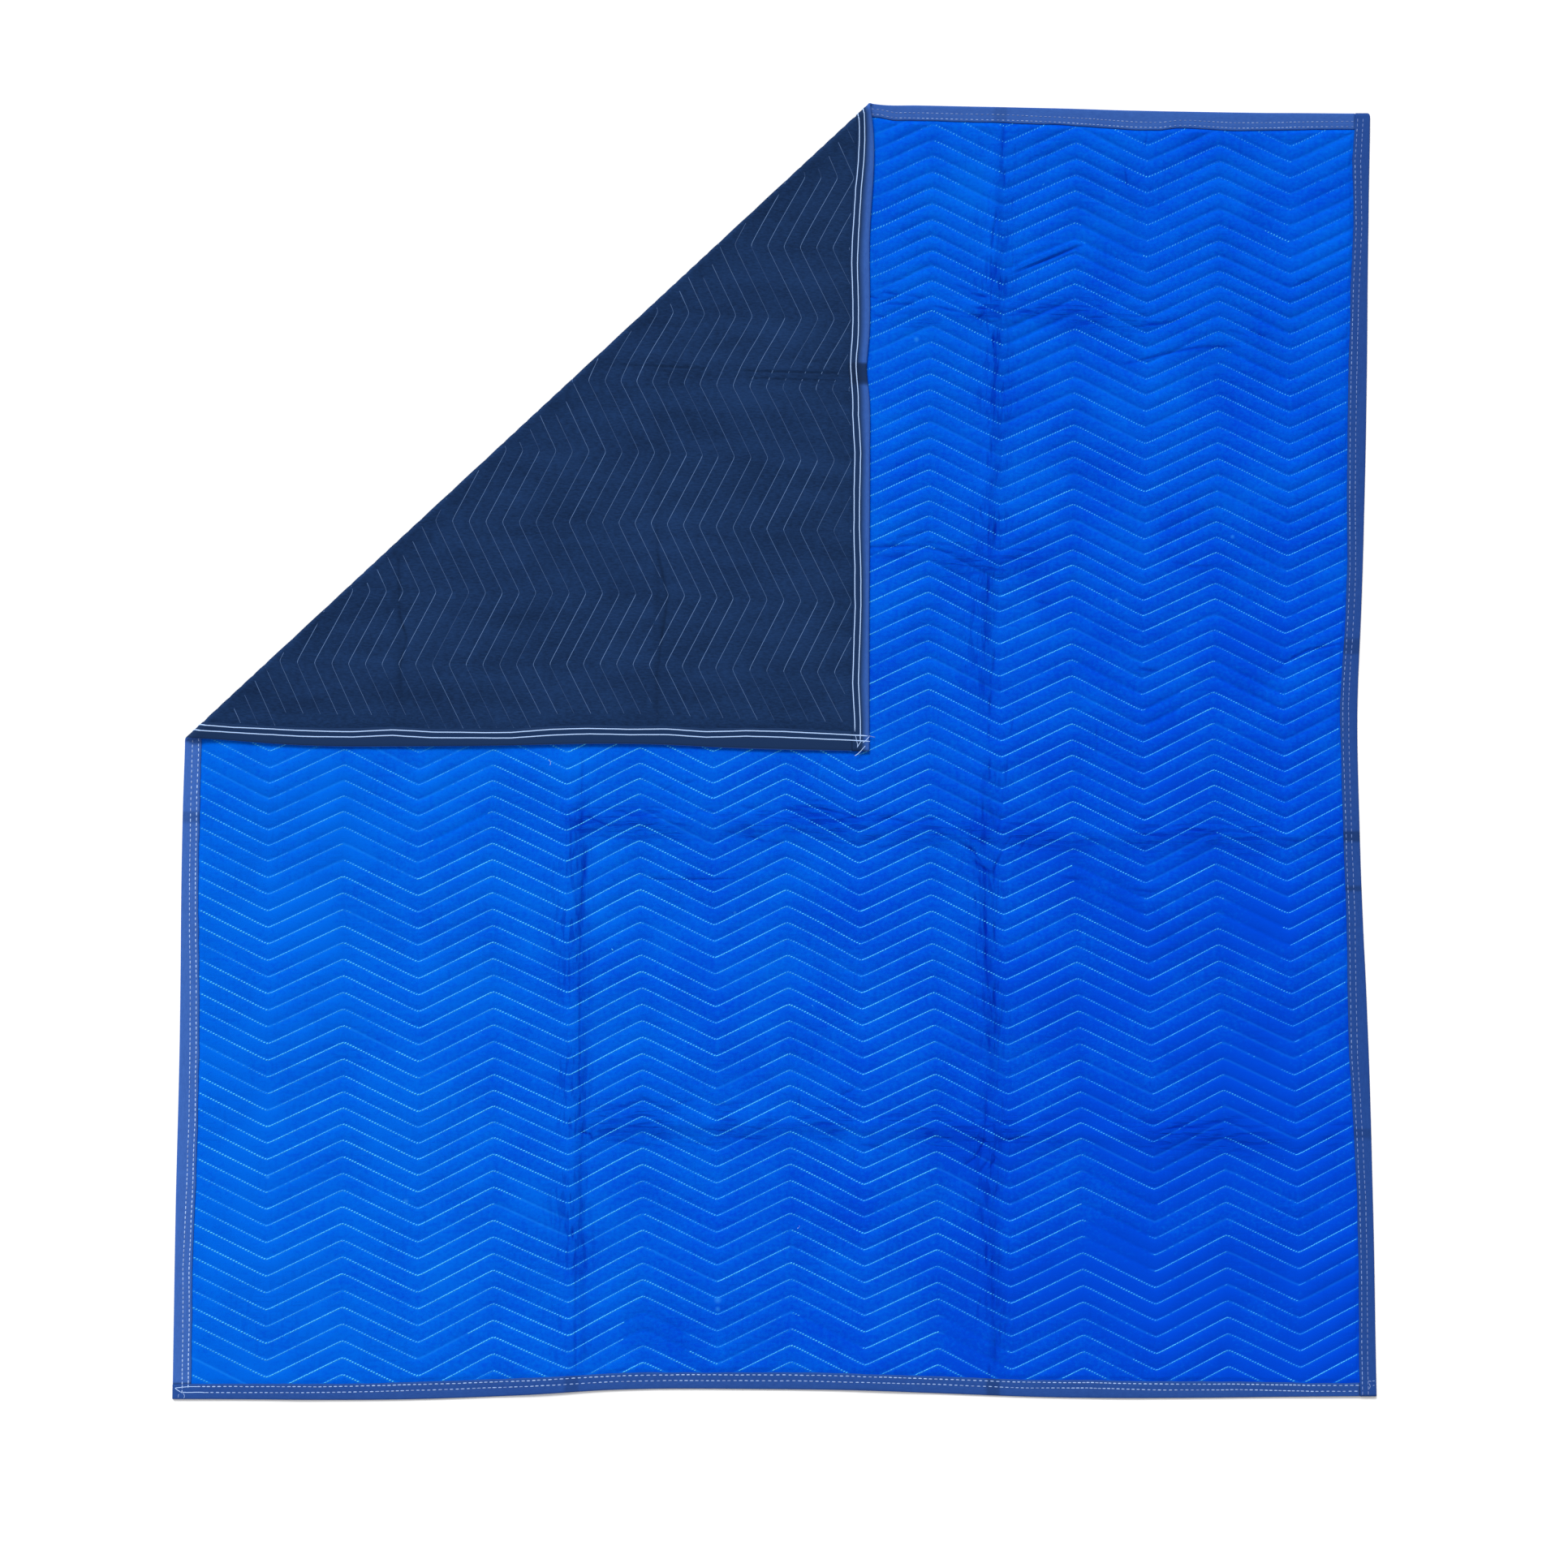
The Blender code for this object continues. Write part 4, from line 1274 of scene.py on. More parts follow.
def tape_cuts(back):
    """Cuts that trim a flat cloth inside the folds of the tapes, and divide it beside them."""
    width, length = sizes().width, sizes().length
    hem = sizes().tape + TAPE_GAP
    legs = {side: TAPES[side]["leg"][back] * MM + TAPE_GAP for side in TAPES}
    cuts = [
        ((hem, 0, 0), (1, 0, 0), "inner"), ((width - hem, 0, 0), (1, 0, 0), "outer"),
        ((0, hem, 0), (0, 1, 0), "inner"), ((0, length - hem, 0), (0, 1, 0), "outer"),
    ]
    for inside in TAPE_CUTS:
        cuts += [((legs["left"] + inside * MM, 0, 0), (1, 0, 0), ""),
                 ((width - legs["right"] - inside * MM, 0, 0), (1, 0, 0), ""),
                 ((0, legs["bottom"] + inside * MM, 0), (0, 1, 0), ""),
                 ((0, length - legs["top"] - inside * MM, 0), (0, 1, 0), "")]
    return cuts


def divided_cloth(name, side):
    """A cloth laid out flat, divided wherever it will bend. Its vertices hold their levels."""
    lines = columns_across()
    bands = LAST_ROW + 1 - (FIRST_ROW - 1)
    piece, column, row = new_grid(name, len(lines) - 1, bands * len(CHANNEL))
    shares = np.array([share for share, _ in CHANNEL])
    level = FIRST_ROW - 1 + row // len(CHANNEL) + shares[row % len(CHANNEL)]
    u, v = row_point(lines[column], level)
    set_coordinates(piece.data, np.column_stack((u, v, level * LEVEL_STEP)))
    set_map(piece.data, u, v)
    cut(piece.data, tape_cuts(int(side < 0)))
    cut_wrinkles(piece.data, [rows for group, rows in WRINKLES.items()
                              if (group == "turned corner") != (side > 0)])
    u, v = map_at_vertices(piece.data)
    level = coordinates(piece.data)[:, 2]
    set_coordinates(piece.data, np.column_stack((*laid_out(u, v), level)))
    beyond = Vector((-sin(FOLD_ANGLE), cos(FOLD_ANGLE), 0))
    start = Vector((*FOLD_POINT, 0))
    cut(piece.data, [(start + beyond * station, beyond, "") for station in bend_stations()[:, 0]])
    return piece


def quilted_cloth(name, side, material, node_name):
    """One quilted cloth: side is 1 for the face and -1 for the back."""
    piece = divided_cloth(name, side)
    u, v = map_at_vertices(piece.data)
    x, y, level = coordinates(piece.data).T
    level = level / LEVEL_STEP
    shares, highs = np.array((*CHANNEL, (1, 0)), float).T
    share = np.interp(level % 1, shares, highs)
    height = face_height(u, v, share) if side > 0 else back_height(u, v, share)
    set_coordinates(piece.data, folded(x, y, height))
    # Painted shade: where the wrinkles and the lines along the creases darken the cloth.
    set_attribute(piece.data, "crease", np.maximum(wrinkles(u, v)[1], painted_crease_lines(u, v)))
    set_attribute(piece.data, "thread_glow", thread_glow(level, u, v))
    across, up = rumpled(u, v)
    set_attribute(piece.data, "rumpled_across", across)
    set_attribute(piece.data, "rumpled_up", up)
    if side < 0:
        piece.data.flip_normals()
    return finish_mesh(piece, material, (node_name,))


# ------------------------------------------------------------------------------- tapes


def tape_place(side, inwards, along):
    """Flat (u, v) of a point of a tape, by its distances in from the edge and along it."""
    if side in ("left", "right"):
        return (inwards if side == "left" else sizes().width - inwards), along
    return along, (inwards if side == "bottom" else sizes().length - inwards)


def leg_heights(side, back, inwards, along):
    """Height of a tape's leg over the middle of the stack: crowned, and drawn in at its seams."""
    half = sizes().stack / 2
    edge = np.clip(inwards / half, 0, 1)
    height = half * np.sqrt(1 - (1 - edge) ** 2)
    leg = TAPES[side]["leg"][back] * MM
    crown = LEG_CROWN * np.sin(pi * np.clip(inwards / leg, 0, 1)) ** 0.5
    crown = crown * (1 + 0.7 * waves(along, inwards * 2, "tape crown", len(side) + back))
    pitch = TAPES[side]["pitch"] * MM
    pull = SEAM_PULL + STITCH_PULL * np.cos(2 * pi * along / pitch)
    drawn = 0
    for seam in TAPES[side]["seams"][back]:
        drawn = drawn + pull * np.exp(-(((inwards - seam * MM) / PULL_WIDTH) ** 2))
    shape = (crown - drawn) * (BACK_SHARE if back else 1.0)
    return height + shape * np.clip(inwards / (2 * MM), 0, 1)


def leg_steps(leg, seams):
    """Places across one leg of a tape, from its inner edge outwards, closer at its seams."""
    outer, inner = (seam * MM for seam in seams)
    return [leg * MM, inner + 1.5 * MM, inner, inner - 1.7 * MM, outer + 1.7 * MM, outer,
            outer - 1.7 * MM, 5 * MM, 2.4 * MM, 1 * MM, 0.25 * MM]


def tape_section(side):
    """A tape's closed section: points (inwards, layer). Layer is 1 for the outside of the face
    leg, -1 for the outside of the back leg, and 0.5 and -0.5 for their insides."""
    face, back = (leg_steps(*pair) for pair in zip(TAPES[side]["leg"], TAPES[side]["seams"]))
    inside = [(back[0], -0.5), (TAPE_INSIDE, -0.5), (TAPE_INSIDE, 0.5), (face[0], 0.5)]
    return [(step, 1) for step in (*face, 0.0)] + [(step, -1) for step in back[::-1]] + inside


def close_tube():
    """Weld the sides of the active grid into a tube, and close the tube's ends."""
    bpy.ops.object.mode_set(mode="EDIT")
    bpy.ops.mesh.select_all(action="SELECT")
    bpy.ops.mesh.remove_doubles(threshold=0.02 * MM)
    bpy.ops.mesh.select_all(action="DESELECT")
    bpy.ops.mesh.select_non_manifold()
    bpy.ops.mesh.edge_face_add()
    bpy.ops.mesh.select_all(action="SELECT")
    bpy.ops.mesh.quads_convert_to_tris(ngon_method="BEAUTY")
    bpy.ops.mesh.tris_convert_to_quads()
    bpy.ops.mesh.normals_make_consistent(inside=False)
    bpy.ops.object.mode_set(mode="OBJECT")


def binding(side, start, end, material):
    """One binding tape, folded round an edge between two places along it."""
    section = tape_section(side)
    step = TAPES[side]["pitch"] * MM / 2
    count = int((end - start) / step)
    places = np.linspace(start, end, count + 1)
    piece, column, row = new_grid(f"tape_{side}", len(section), count)
    column = column % len(section)
    inwards = np.array([point[0] for point in section])[column]
    layer = np.array([point[1] for point in section])[column]
    along = places[row]
    back = (layer < 0).astype(int)
    outside = np.abs(layer) == 1
    leg = np.array(TAPES[side]["leg"], float)[back] * MM
    sway = 0.4 * MM * waves(along, along * 0.7, "tape sway", len(side)) * (inwards / leg) ** 2
    height = np.where(back == 1, leg_heights(side, 1, inwards, along),
                      leg_heights(side, 0, inwards, along))
    flat_inside = sizes().stack / 2 - sizes().tape
    height = np.where(outside, height, np.minimum(flat_inside, height - 0.3 * MM))
    height = height * np.where(layer < 0, -1, 1)
    blunt = TAPES[side]["blunt"] * MM * (along > sizes().length - 1 * MM) * (inwards < 8 * MM)
    u, v = tape_place(side, strayed(side, inwards, along) + sway, along)
    u = u - blunt
    steps = np.array(section)
    girth = np.cumsum(np.hypot(*np.diff(steps, axis=0, prepend=steps[:1]).T))
    set_coordinates(piece.data, placed(u, v, height + relief(u, v)))
    set_map(piece.data, girth[column], along)
    set_attribute(piece.data, "navy", navy_share(side, inwards, layer))
    set_attribute(piece.data, "deep", np.full(len(along), TAPES[side]["deep"]))
    shade = np.zeros(len(along))
    for shaded, shaded_back, middle, half, dark in TAPE_SHADES:
        if shaded == side:
            near = eased(4 - 4 * np.abs(along / MM - middle) / half)
            shade = np.maximum(shade, near * dark * (back == shaded_back))
    set_attribute(piece.data, "shade", shade)
    close_tube()
    return finish_mesh(piece, material, (f"binding_{side}",))


def navy_share(side, inwards, layer):
    """How navy a tape is: the left tape's back is, and the top one's but for its outer strip."""
    if side == "left":
        return ((layer < 0) & (inwards > 0.3 * MM)).astype(float)
    if side == "top":
        return ((layer < 0) & (inwards > 11.5 * MM)).astype(float)
    return np.zeros_like(inwards)


# ------------------------------------------------------------------------------ stitches


def bead(segments, rings):
    """The shape of one stitch, 1 long, 1 wide and 1 high, lying along X on the XY plane."""
    bpy.ops.object.select_all(action="DESELECT")
    bpy.ops.mesh.primitive_uv_sphere_add(segments=segments, ring_count=rings, radius=0.5)
    made = bpy.context.object
    points = coordinates(made.data)
    faces = sorted(tuple(face.vertices) for face in made.data.polygons)
    bpy.data.objects.remove(made)
    x, y, z = points.T
    lengthwise = np.sign(z) * np.abs(2 * z) ** 0.62 / 2
    return np.column_stack((lengthwise, -y / np.ptp(y), (x - x.min()) / np.ptp(x))), faces


def along_surface(points, u, v, tangent, size, height):
    """Copies of a bead's points on the flat cloth, one for each place.

    Tangent is each copy's unit direction in (u, v), size its (length, width, height), and
    height the cloth's height there.
    """
    lengthwise = points[None, :, 0] * size[:, 0:1]
    sideways = points[None, :, 1] * size[:, 1:2]
    up = points[None, :, 2] * size[:, 2:3]
    across = u[:, None] + lengthwise * tangent[:, 0:1] - sideways * tangent[:, 1:2]
    along = v[:, None] + lengthwise * tangent[:, 1:2] + sideways * tangent[:, 0:1]
    return across.ravel(), along.ravel(), (height[:, None] + up).ravel()


def copied_beads(name, shape, flat, faint, material):
    """A piece of thread that is many copies of one bead."""
    points, faces = shape
    offsets = np.arange(len(faint))[:, None, None] * len(points)
    corners = []
    for count in (4, 3):
        group = np.array([face for face in faces if len(face) == count])
        corners += (group + offsets).reshape(-1, count).tolist()
    return thread_piece(name, flat, corners, np.repeat(faint, len(points)), material)


def row_path(row):
    """A quilting row as closely spaced flat points, with each one's distance along it."""
    pattern = np.arange(-0.03, sizes().width + 0.05, 1.5 * MM)
    u, v = row_point(pattern, np.full_like(pattern, row))
    distance = np.concatenate(([0], np.cumsum(np.hypot(np.diff(u), np.diff(v)))))
    return pattern, u, v, distance


def upper_share(row, rows):
    """How far a row lies on the way between a first and a last row, from 0 to 1."""
    first, last = rows
    return eased((row - first) / (last - first))


def along_path(at, step, distance, u, v):
    """Places at distances along a path, and the path's unit directions there."""
    place_u, place_v = np.interp(at, distance, u), np.interp(at, distance, v)
    run = np.interp(at + step, distance, u) - place_u
    rise = np.interp(at + step, distance, v) - place_v
    far = np.hypot(run, rise)
    return place_u, place_v, run / far, rise / far


def stitch_shape(part, climbs, upper):
    """A measure of the face stitches, by whether they climb and how far up the blanket."""
    low, high = STITCH_SHAPES["climbs"][part]
    climbing = low + (high - low) * upper
    low, high = STITCH_SHAPES["falls"][part]
    return np.where(climbs, climbing, low + (high - low) * upper)


def face_stitches():
    """Places, directions, sizes and faintness of all the stitches that show on the face."""
    rng = np.random.default_rng(7)
    pitch = sizes().stitch_pitch
    found = []
    for row in range(FIRST_ROW, LAST_ROW + 1):
        pattern, path_u, path_v, distance = row_path(row)
        loose = 1 + PITCH_GROWTH * upper_share(row, PITCH_CHANGE)
        upper = upper_share(row, STITCH_CHANGE)
        at = np.arange(rng.uniform(0, pitch), distance[-1], pitch * loose)
        at = at + rng.normal(0, 0.15 * MM, len(at))
        u, v, run, rise = along_path(at, MM, distance, path_u, path_v)
        half = np.floor((np.interp(at, distance, pattern) - PEAK_AT * MM) / sizes().kink_spacing)
        climbs = rise > 0
        faint = segment_faintness(row, half, climbs, u, v)
        long = stitch_shape("long", climbs, upper) * pitch * loose
        long = long * (1 + 0.07 * rng.standard_normal(len(at)))
        wide = stitch_shape("wide", climbs, upper) * sizes().stitch_width
        lean = stitch_shape("lean", climbs, upper) + 0.1 * rng.standard_normal(len(at))
        ahead, aside = np.cos(lean), np.sin(lean)
        run, rise = run * ahead - rise * aside, run * aside + rise * ahead
        keep = tape_free(u, v, 0) > TAPE_CLEARANCE
        keep = keep & (faint < 1) & shows_on_face(*laid_out(u, v))
        found.append(np.column_stack((u, v, run, rise, long, wide, faint))[keep])
    return np.concatenate(found)


def shows_on_face(x, y):
    """Whether laid out face cloth is neither turned over nor far under the turned corner."""
    right, bottom = STITCHED_TO
    return (along_and_beyond(x, y)[1] < -FOLD_CLEARANCE) & ~((x < right) & (y > bottom))


def segment_faintness(row, half, climbs, u, v):
    """How faint each stitch is, from 0 to 1, where 1 means that it is missing.

    A segment runs from kink to kink. Low on the cloth, segments that fall to the right grow
    fainter towards the right, and high up those that climb are the fainter ones. More of the
    falling ones are missing, most of all towards the right and the top.
    """
    faint = np.zeros(len(u))
    upper = upper_share(row, STITCH_CHANGE)
    for i in np.unique(half):
        chosen = half == i
        rng = np.random.default_rng(int(1000 * (row + 5) + i + 500))
        place = np.mean(u[chosen]) / sizes().width + 0.7 * np.mean(v[chosen]) / sizes().length
        falls = not climbs[chosen].mean() > 0.5
        low, high = CLIMBING_MORE
        added = FALLING_MORE * place * (1 - upper) if falls else low + (high - low) * upper
        level = rng.beta(*SEGMENT_SHAPE) + added + FAR_MORE * max(place - FAR_PLACE, 0)
        level = level + UNEVEN_STITCHES * rng.standard_normal(chosen.sum())
        level = level + UNEVEN_CLOTH * waves(u[chosen], v[chosen], "stitch faintness")
        for across, up, half_width, more in FAINT_PLACES:
            apart = np.hypot(u[chosen] - across * MM, v[chosen] - up * MM) / MM
            level = level + more * eased(1.6 - 1.6 * apart / half_width)
        lengthwise = np.linspace(0, 1, chosen.sum())
        odds, growth = MISSING_ODDS["falls" if falls else "climbs"]
        if rng.random() < odds + growth * place:
            start, end = rng.uniform(-0.6, 0.4), rng.uniform(0.5, 1.7)
            level = np.where((lengthwise > start) & (lengthwise < end), 1.0, level)
        faint[chosen] = level
    for first, last, start, end in BARE_ROWS:
        if first <= row <= last:
            faint[(u > start * MM) & (u < end * MM)] = 1.0
    return np.where(faint < 0.99, np.clip(faint, 0, 0.92), 1)


def quilting_on_face(material):
    """The stitches on the face, in two pieces."""
    stitches = face_stitches()
    shape = bead(3, 3)
    half = len(stitches) // 2
    for part, block in enumerate((stitches[:half], stitches[half:])):
        u, v, run, rise, long, wide, faint = block.T
        height = face_height(u, v, 0) - QUILTING_SUNK - 0.18 * MM * faint
        size = np.column_stack((long, wide * (1 - 0.25 * faint), np.full_like(long, QUILTING_TALL)))
        flat = along_surface(shape[0], u, v, np.column_stack((run, rise)), size, height)
        copied_beads(f"quilting_face_{part + 1}", shape, flat, faint, material)


def thread_line(u, v, height, wide, tall):
    """Flat points and faces of a thin line of thread along a path: a low ridge with a base."""
    wide, tall = wide + 0 * u, tall + 0 * u
    run, rise = np.gradient(u), np.gradient(v)
    long = np.hypot(run, rise)
    run, rise = run / long, rise / long
    rings = []
    for sideways, up in ((-0.5, 0.0), (0.0, 1.0), (0.5, 0.0)):
        rings.append(np.column_stack((u - rise * sideways * wide, v + run * sideways * wide,
                                      height + up * tall)))
    points = np.stack(rings, 1).reshape(-1, 3)
    first = np.arange(len(u) - 1)[:, None] * 3
    faces = np.concatenate([first + np.array([a, a + 3, b + 3, b])
                            for a, b in ((0, 1), (1, 2), (2, 0))])
    return points, faces


def thread_lines(name, lines, material):
    """A piece of thread that is many lines. A line is (points, faces, faintness)."""
    points, faces, faint = zip(*lines)
    counts = [len(line) for line in points]
    first = np.cumsum(counts) - counts
    corners = np.concatenate([block + start for block, start in zip(faces, first)])
    faint = np.concatenate([np.broadcast_to(line, count) for line, count in zip(faint, counts)])
    return thread_piece(name, np.concatenate(points).T, corners.tolist(), faint, material)


def quilting_on_back(material):
    """The looper thread on the back, as one thin line along each row."""
    zigzags = (np.arange(-HALVES, HALVES)[:, None] + np.array(LOOPER_STEPS)).ravel()
    pattern = PEAK_AT * MM + zigzags * sizes().kink_spacing
    half = np.floor((pattern - PEAK_AT * MM) / sizes().kink_spacing)
    lines = []
    for row in range(FIRST_ROW, LAST_ROW + 1):
        u, v = row_point(pattern, np.full_like(pattern, row))
        for start, end in runs_of(tape_free(u, v, 1) > 0):
            path = slice(start, end)
            faint = np.array([np.random.default_rng(int(row * 50 + i + 9000)).beta(1.0, 2.2)
                              for i in half[path]])
            faint = np.clip(faint + 0.42 * (half[path] % 2 == 0), 0, 1)
            height = back_height(u[path], v[path], 0) + LOOPER_SUNK + 0.16 * MM * faint
            line, quads = thread_line(u[path], v[path], height, LOOPER_WIDE, -LOOPER_TALL)
            lines.append((line, quads[:, ::-1], np.repeat(faint, 3)))
    thread_lines("quilting_back", lines, material)


def runs_of(keep):
    """Start and end of each run of at least three true values."""
    edges = np.flatnonzero(np.diff(np.concatenate(([0], keep.astype(int), [0]))))
    return [(start, end) for start, end in zip(edges[::2], edges[1::2]) if end - start > 2]


# ------------------------------------------------------------------------ binding seams


def seam_path(side, back, seam, start, end):
    """Flat path of a binding seam, slightly uneven."""
    along = np.arange(start, end, 3) * MM
    sway = 0.25 * MM * waves(along, along * 0.4, "seam sway", int(seam * 10) + back)
    return along, *tape_place(side, strayed(side, seam * MM, along) + sway, along)


def tape_ends(side):
    """Where a tape starts and ends along its edge, clear of the tapes that lie over its ends."""
    if side == "right":
        return 0.0, sizes().length
    if side == "left":
        top = leg_at("top", 1, 14 * MM)
        return leg_at("bottom", 0, 14 * MM) + TAPE_GAP, sizes().length - top - TAPE_GAP
    beside = 12 * MM if side == "bottom" else sizes().length - 12 * MM
    return 0.0, sizes().width - leg_at("right", 0, beside) - TAPE_GAP


def surface(u, v, back):
    """Height of the blanket's face or back, tapes and all, at flat points or just beside them."""
    height = back_height(u, v, 0.7) if back else face_height(u, v, 0.7)
    right, top = sizes().width - u, sizes().length - v
    for side, inwards, along in (("left", u, v), ("bottom", v, u),
                                 ("top", top, u), ("right", right, v)):
        even = 2 * inwards - strayed(side, inwards, along)
        tape = leg_heights(side, back, np.maximum(even, 1 * MM), along)
        tape = (-tape if back else tape) + relief(u, v)
        height = np.where(inwards < leg_at(side, back, along), tape, height)
    return height


def binding_seams(material):
    """The stitches of the binding on its face, as dashes."""
    shape = bead(6, 4)
    blocks = []
    rng = np.random.default_rng(21)
    for side, tape in TAPES.items():
        for seam, (start, end) in zip(tape["seams"][0], tape["ends"][0]):
            along, path_u, path_v = seam_path(side, 0, seam, start, end)
            steps = tape["pitch"] * MM * (1 + 0.12 * waves(along, along, "seam pitch"))
            count = np.cumsum(3 * MM / steps)
            at = np.interp(np.arange(0.5, count[-1]), count, along)
            at = at + rng.normal(0, 0.2 * MM, len(at))
            u, v, run, rise = along_path(at, 2 * MM, along, path_u, path_v)
            height = surface(u, v, 0) - SEAM_SUNK
            long = (tape["filled"] + rng.normal(0, 0.04, len(at))) * tape["pitch"] * MM
            outer = 0.15 if seam < 0.6 * tape["leg"][0] else 0.0
            faint = 0.6 * rng.beta(1.5, 4, len(at)) + tape["faint"] + outer
            faint = np.clip(faint + 0.12 * waves(at, at, "seam faintness"), 0, 1)
            keep = shows_on_face(*laid_out(u, v))
            blocks.append(np.column_stack((u, v, run, rise, long, height, faint))[keep])
    u, v, run, rise, long, height, faint = np.concatenate(blocks).T
    wide = sizes().seam_width * (1 - 0.2 * faint)
    size = np.column_stack((long, wide, np.full_like(long, SEAM_TALL)))
    flat = along_surface(shape[0], u, v, np.column_stack((run, rise)), size, height)
    copied_beads("binding_seams_face", shape, flat, faint, material)


def lying_thread(back, u, v, wide, faint):
    """The line of an unbroken thread that lies on the blanket, thinner at its ends."""
    out = -1 if back else 1
    height = surface(u, v, back) - out * 0.1 * MM
    ends = np.clip(np.minimum(np.arange(len(u)), np.arange(len(u))[::-1]) / 2 + 0.3, 0, 1)
    points, faces = thread_line(u, v, height, wide * ends, out * 0.45 * wide * ends)
    return points, faces[:, ::out], faint


def binding_lines(material):
    """The unbroken seams on the back of the binding."""
    lines = []
    for side, tape in TAPES.items():
        for seam, (start, end) in zip(tape["seams"][1], tape["ends"][1]):
            _, u, v = seam_path(side, 1, seam, start, end)
            lines.append(lying_thread(1, u, v, BACK_SEAM_WIDE, 0.0))
    thread_lines("binding_seams_back", lines, material)


def softened(path):
    """A path with its corners cut twice."""
    for _ in range(2):
        near, far = 0.75 * path[:-1] + 0.25 * path[1:], 0.25 * path[:-1] + 0.75 * path[1:]
        path = np.concatenate((path[:1], np.stack((near, far), 1).reshape(-1, 2), path[-1:]))
    return path


def loose_ends(name, thread, back, material):
    """The loose ends of one kind of thread, on one side."""
    lines = []
    for on_back, kind, wide, faint, path in LOOSE_ENDS:
        if kind == thread and on_back == back:
            u, v = softened(np.array(path) * MM).T
            lines.append(lying_thread(back, u, v, wide * MM, faint))
    thread_lines(name, lines, material)


# -------------------------------------------------------------------------------- stage


def add_floor(colour):
    """A plain pale floor."""
    bpy.ops.object.select_all(action="DESELECT")
    bpy.ops.mesh.primitive_plane_add(size=30)
    floor = bpy.context.object
    floor.name = "floor"
    material, _, shader = new_material("floor")
    shader.inputs["Base Color"].default_value = (*colour, 1)
    shader.inputs["Roughness"].default_value = 0.9
    floor.data.materials.append(material)
    set_coordinates(floor.data, coordinates(floor.data) - [0, 0, 0.05 * MM])


def add_key(strength):
    """A large soft light from beyond the top left corner."""
    data = bpy.data.lights.new("key", "SUN")
    data.energy, data.angle = strength, radians(KEY_SPAN)
    lamp = bpy.data.objects.new("key", data)
    lamp.rotation_euler = Vector(KEY_FROM).to_track_quat("Z", "Y").to_euler()
    bpy.context.scene.collection.objects.link(lamp)


def add_camera():
    """The camera, above the blanket and a little off its middle."""
    data = bpy.data.cameras.new("camera")
    data.sensor_width, data.lens = 36.0, CAMERA_LENS
    data.clip_start, data.clip_end = 0.1, 60
    camera = bpy.data.objects.new("camera", data)
    across, up, height = CAMERA_PLACE
    camera.location = (across + SHIFT[0] * MM, up + SHIFT[1] * MM, height)
    camera.rotation_mode = "ZYX"
    camera.rotation_euler = [radians(angle) for angle in CAMERA_TURN]
    bpy.context.scene.collection.objects.link(camera)
    bpy.context.scene.camera = camera


# ----------------------------------------------------------------------------- operators


class BLANKET_OT_stage(bpy.types.Operator):
    """Add the floor, the lights and the camera"""

    bl_idname = "blanket.stage"
    bl_label = "Stage"

    def execute(self, context):
        stage = context.scene.blanket_stage
        add_floor(stage.floor)
        add_key(stage.key)
        world = bpy.data.worlds.new("studio")
        world.use_nodes = True
        world.node_tree.nodes["Background"].inputs[0].default_value = (1, 1, 1, 1)
        world.node_tree.nodes["Background"].inputs[1].default_value = stage.sky
        context.scene.world = world
        context.scene.view_settings.view_transform = "Standard"
        add_camera()
        return {"FINISHED"}


class BLANKET_OT_cloths(bpy.types.Operator):
    """Make the two quilted cloths"""

    bl_idname = "blanket.cloths"
    bl_label = "Cloths"

    def execute(self, context):
        quilted_cloth("face_cloth", 1, face_material(), "face_panel")
        quilted_cloth("back_cloth", -1, back_material(), "back_panel")
        return {"FINISHED"}


class BLANKET_OT_tapes(bpy.types.Operator):
    """Make the four binding tapes"""

    bl_idname = "blanket.tapes"
    bl_label = "Tapes"

    def execute(self, context):
        material = tape_material()
        for side in TAPES:
            binding(side, *tape_ends(side), material)
        return {"FINISHED"}


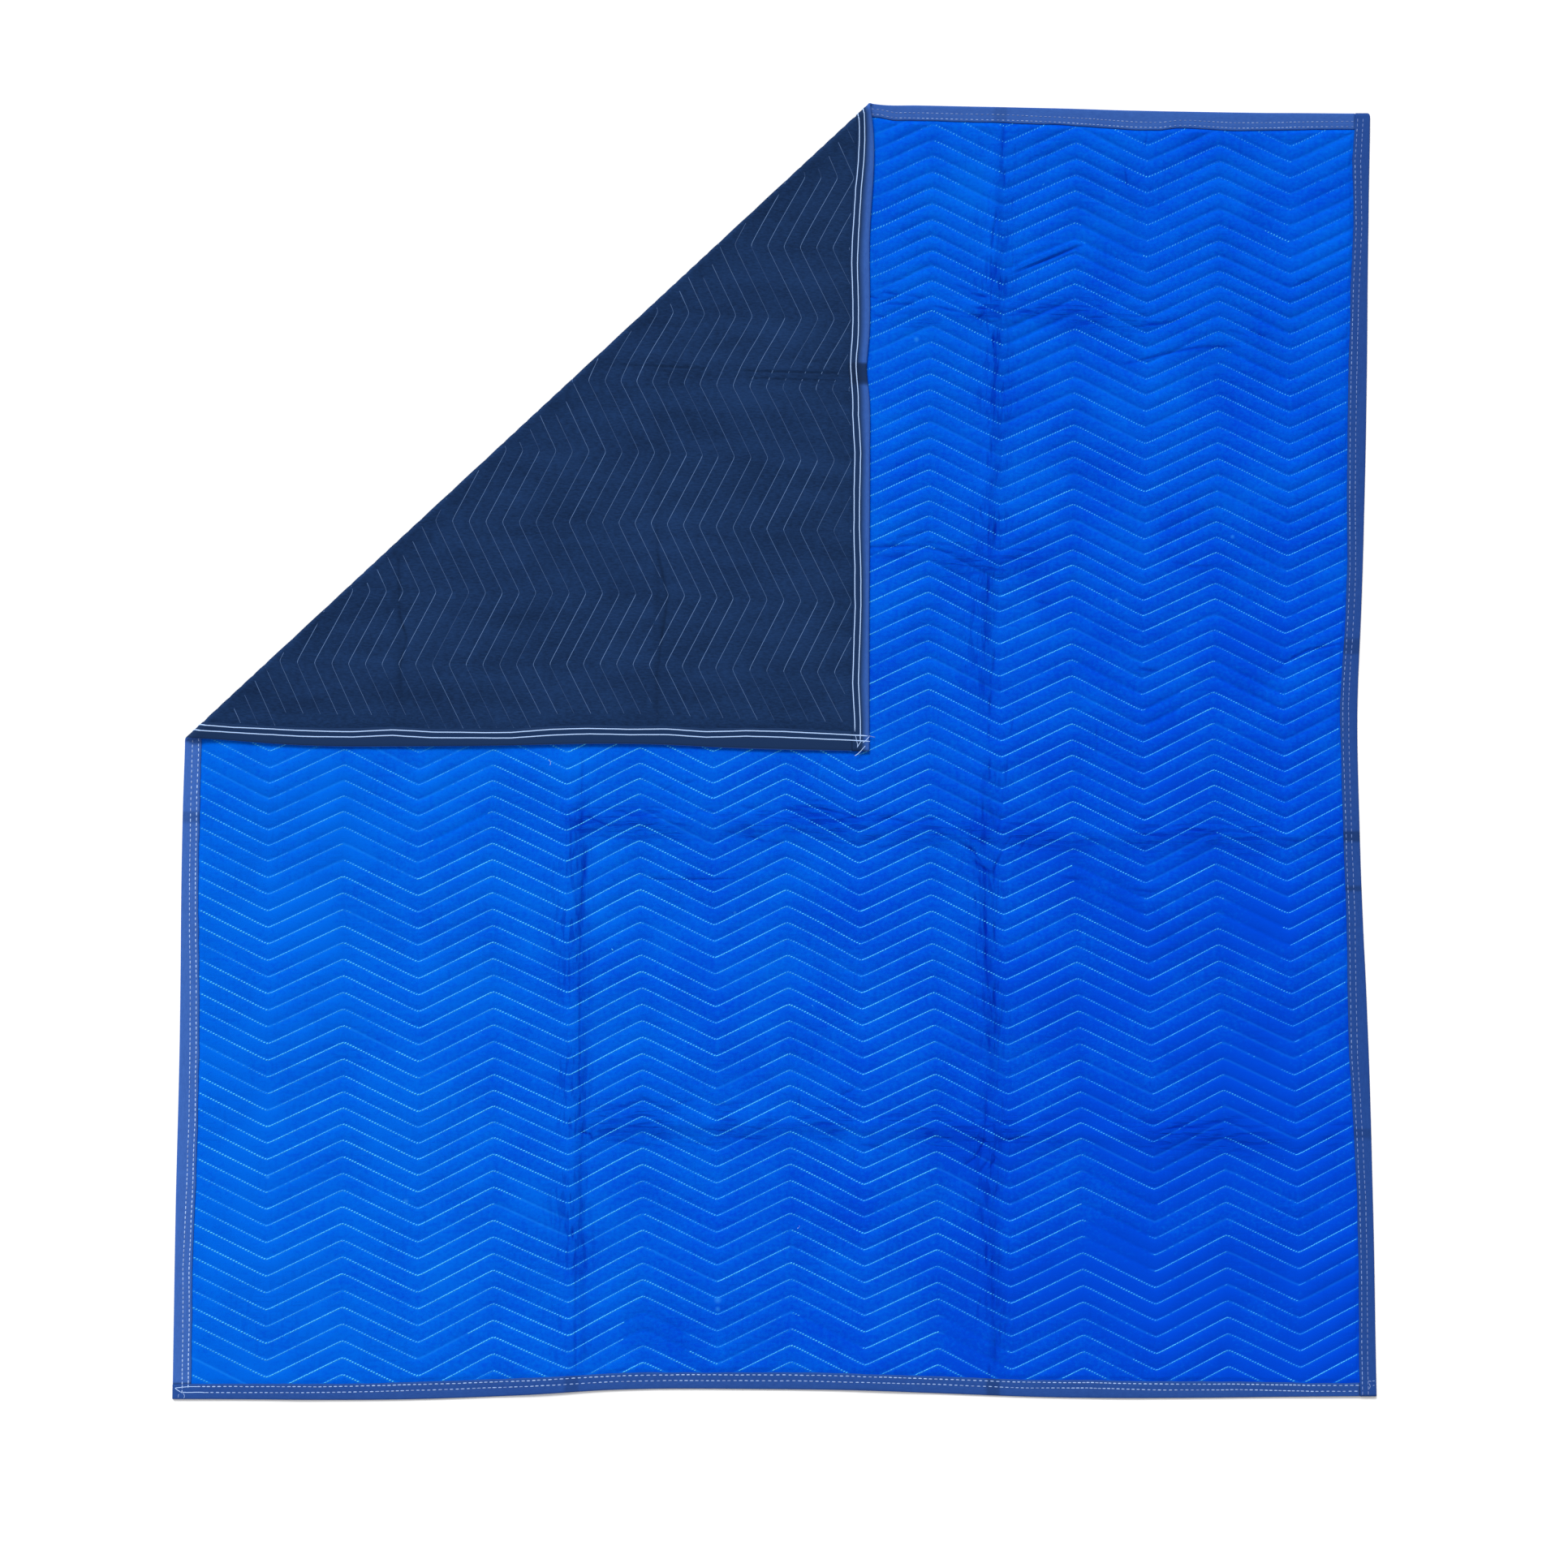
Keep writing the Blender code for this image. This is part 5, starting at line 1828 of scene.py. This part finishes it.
class BLANKET_OT_quilting(bpy.types.Operator):
    """Sew the quilting rows"""

    bl_idname = "blanket.quilting"
    bl_label = "Quilting"

    def execute(self, context):
        blue = thread_material("quilting_face", "quilting")
        quilting_on_face(blue)
        loose_ends("lint_face", "quilting", 0, blue)
        quilting_on_back(thread_material("quilting_back", "quilting_back"))
        return {"FINISHED"}


class BLANKET_OT_seams(bpy.types.Operator):
    """Sew the binding on"""

    bl_idname = "blanket.seams"
    bl_label = "Binding seams"

    def execute(self, context):
        material = thread_material("binding_thread", "seam")
        binding_seams(material)
        binding_lines(material)
        loose_ends("loose_ends_face", "seam", 0, material)
        loose_ends("loose_ends_back", "seam", 1, material)
        return {"FINISHED"}


class BLANKET_PT_panel(bpy.types.Panel):
    """The blanket's pieces, in the order in which they are made"""

    bl_idname = "BLANKET_PT_panel"
    bl_label = "Moving Blanket"
    bl_space_type = "VIEW_3D"
    bl_region_type = "UI"
    bl_category = "Blanket"

    def draw(self, context):
        for step in STEPS:
            self.layout.operator(step)


STEPS = ("blanket.stage", "blanket.cloths", "blanket.tapes", "blanket.quilting", "blanket.seams")
CLASSES = (BlanketSizes, BlanketColours, BlanketStage, BLANKET_OT_stage, BLANKET_OT_cloths,
           BLANKET_OT_tapes, BLANKET_OT_quilting, BLANKET_OT_seams, BLANKET_PT_panel)


def register():
    """Add the classes and the settings."""
    for item in CLASSES:
        bpy.utils.register_class(item)
    bpy.types.Scene.blanket_sizes = PointerProperty(type=BlanketSizes)
    bpy.types.Scene.blanket_colours = PointerProperty(type=BlanketColours)
    bpy.types.Scene.blanket_stage = PointerProperty(type=BlanketStage)


def unregister():
    """Remove the settings and the classes."""
    del bpy.types.Scene.blanket_sizes
    del bpy.types.Scene.blanket_colours
    del bpy.types.Scene.blanket_stage
    for item in reversed(CLASSES):
        bpy.utils.unregister_class(item)


def main():
    """Make every piece."""
    register()
    bpy.ops.blanket.stage()
    bpy.ops.blanket.cloths()
    bpy.ops.blanket.tapes()
    bpy.ops.blanket.quilting()
    bpy.ops.blanket.seams()
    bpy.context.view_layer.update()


if __name__ == "__main__":
    main()
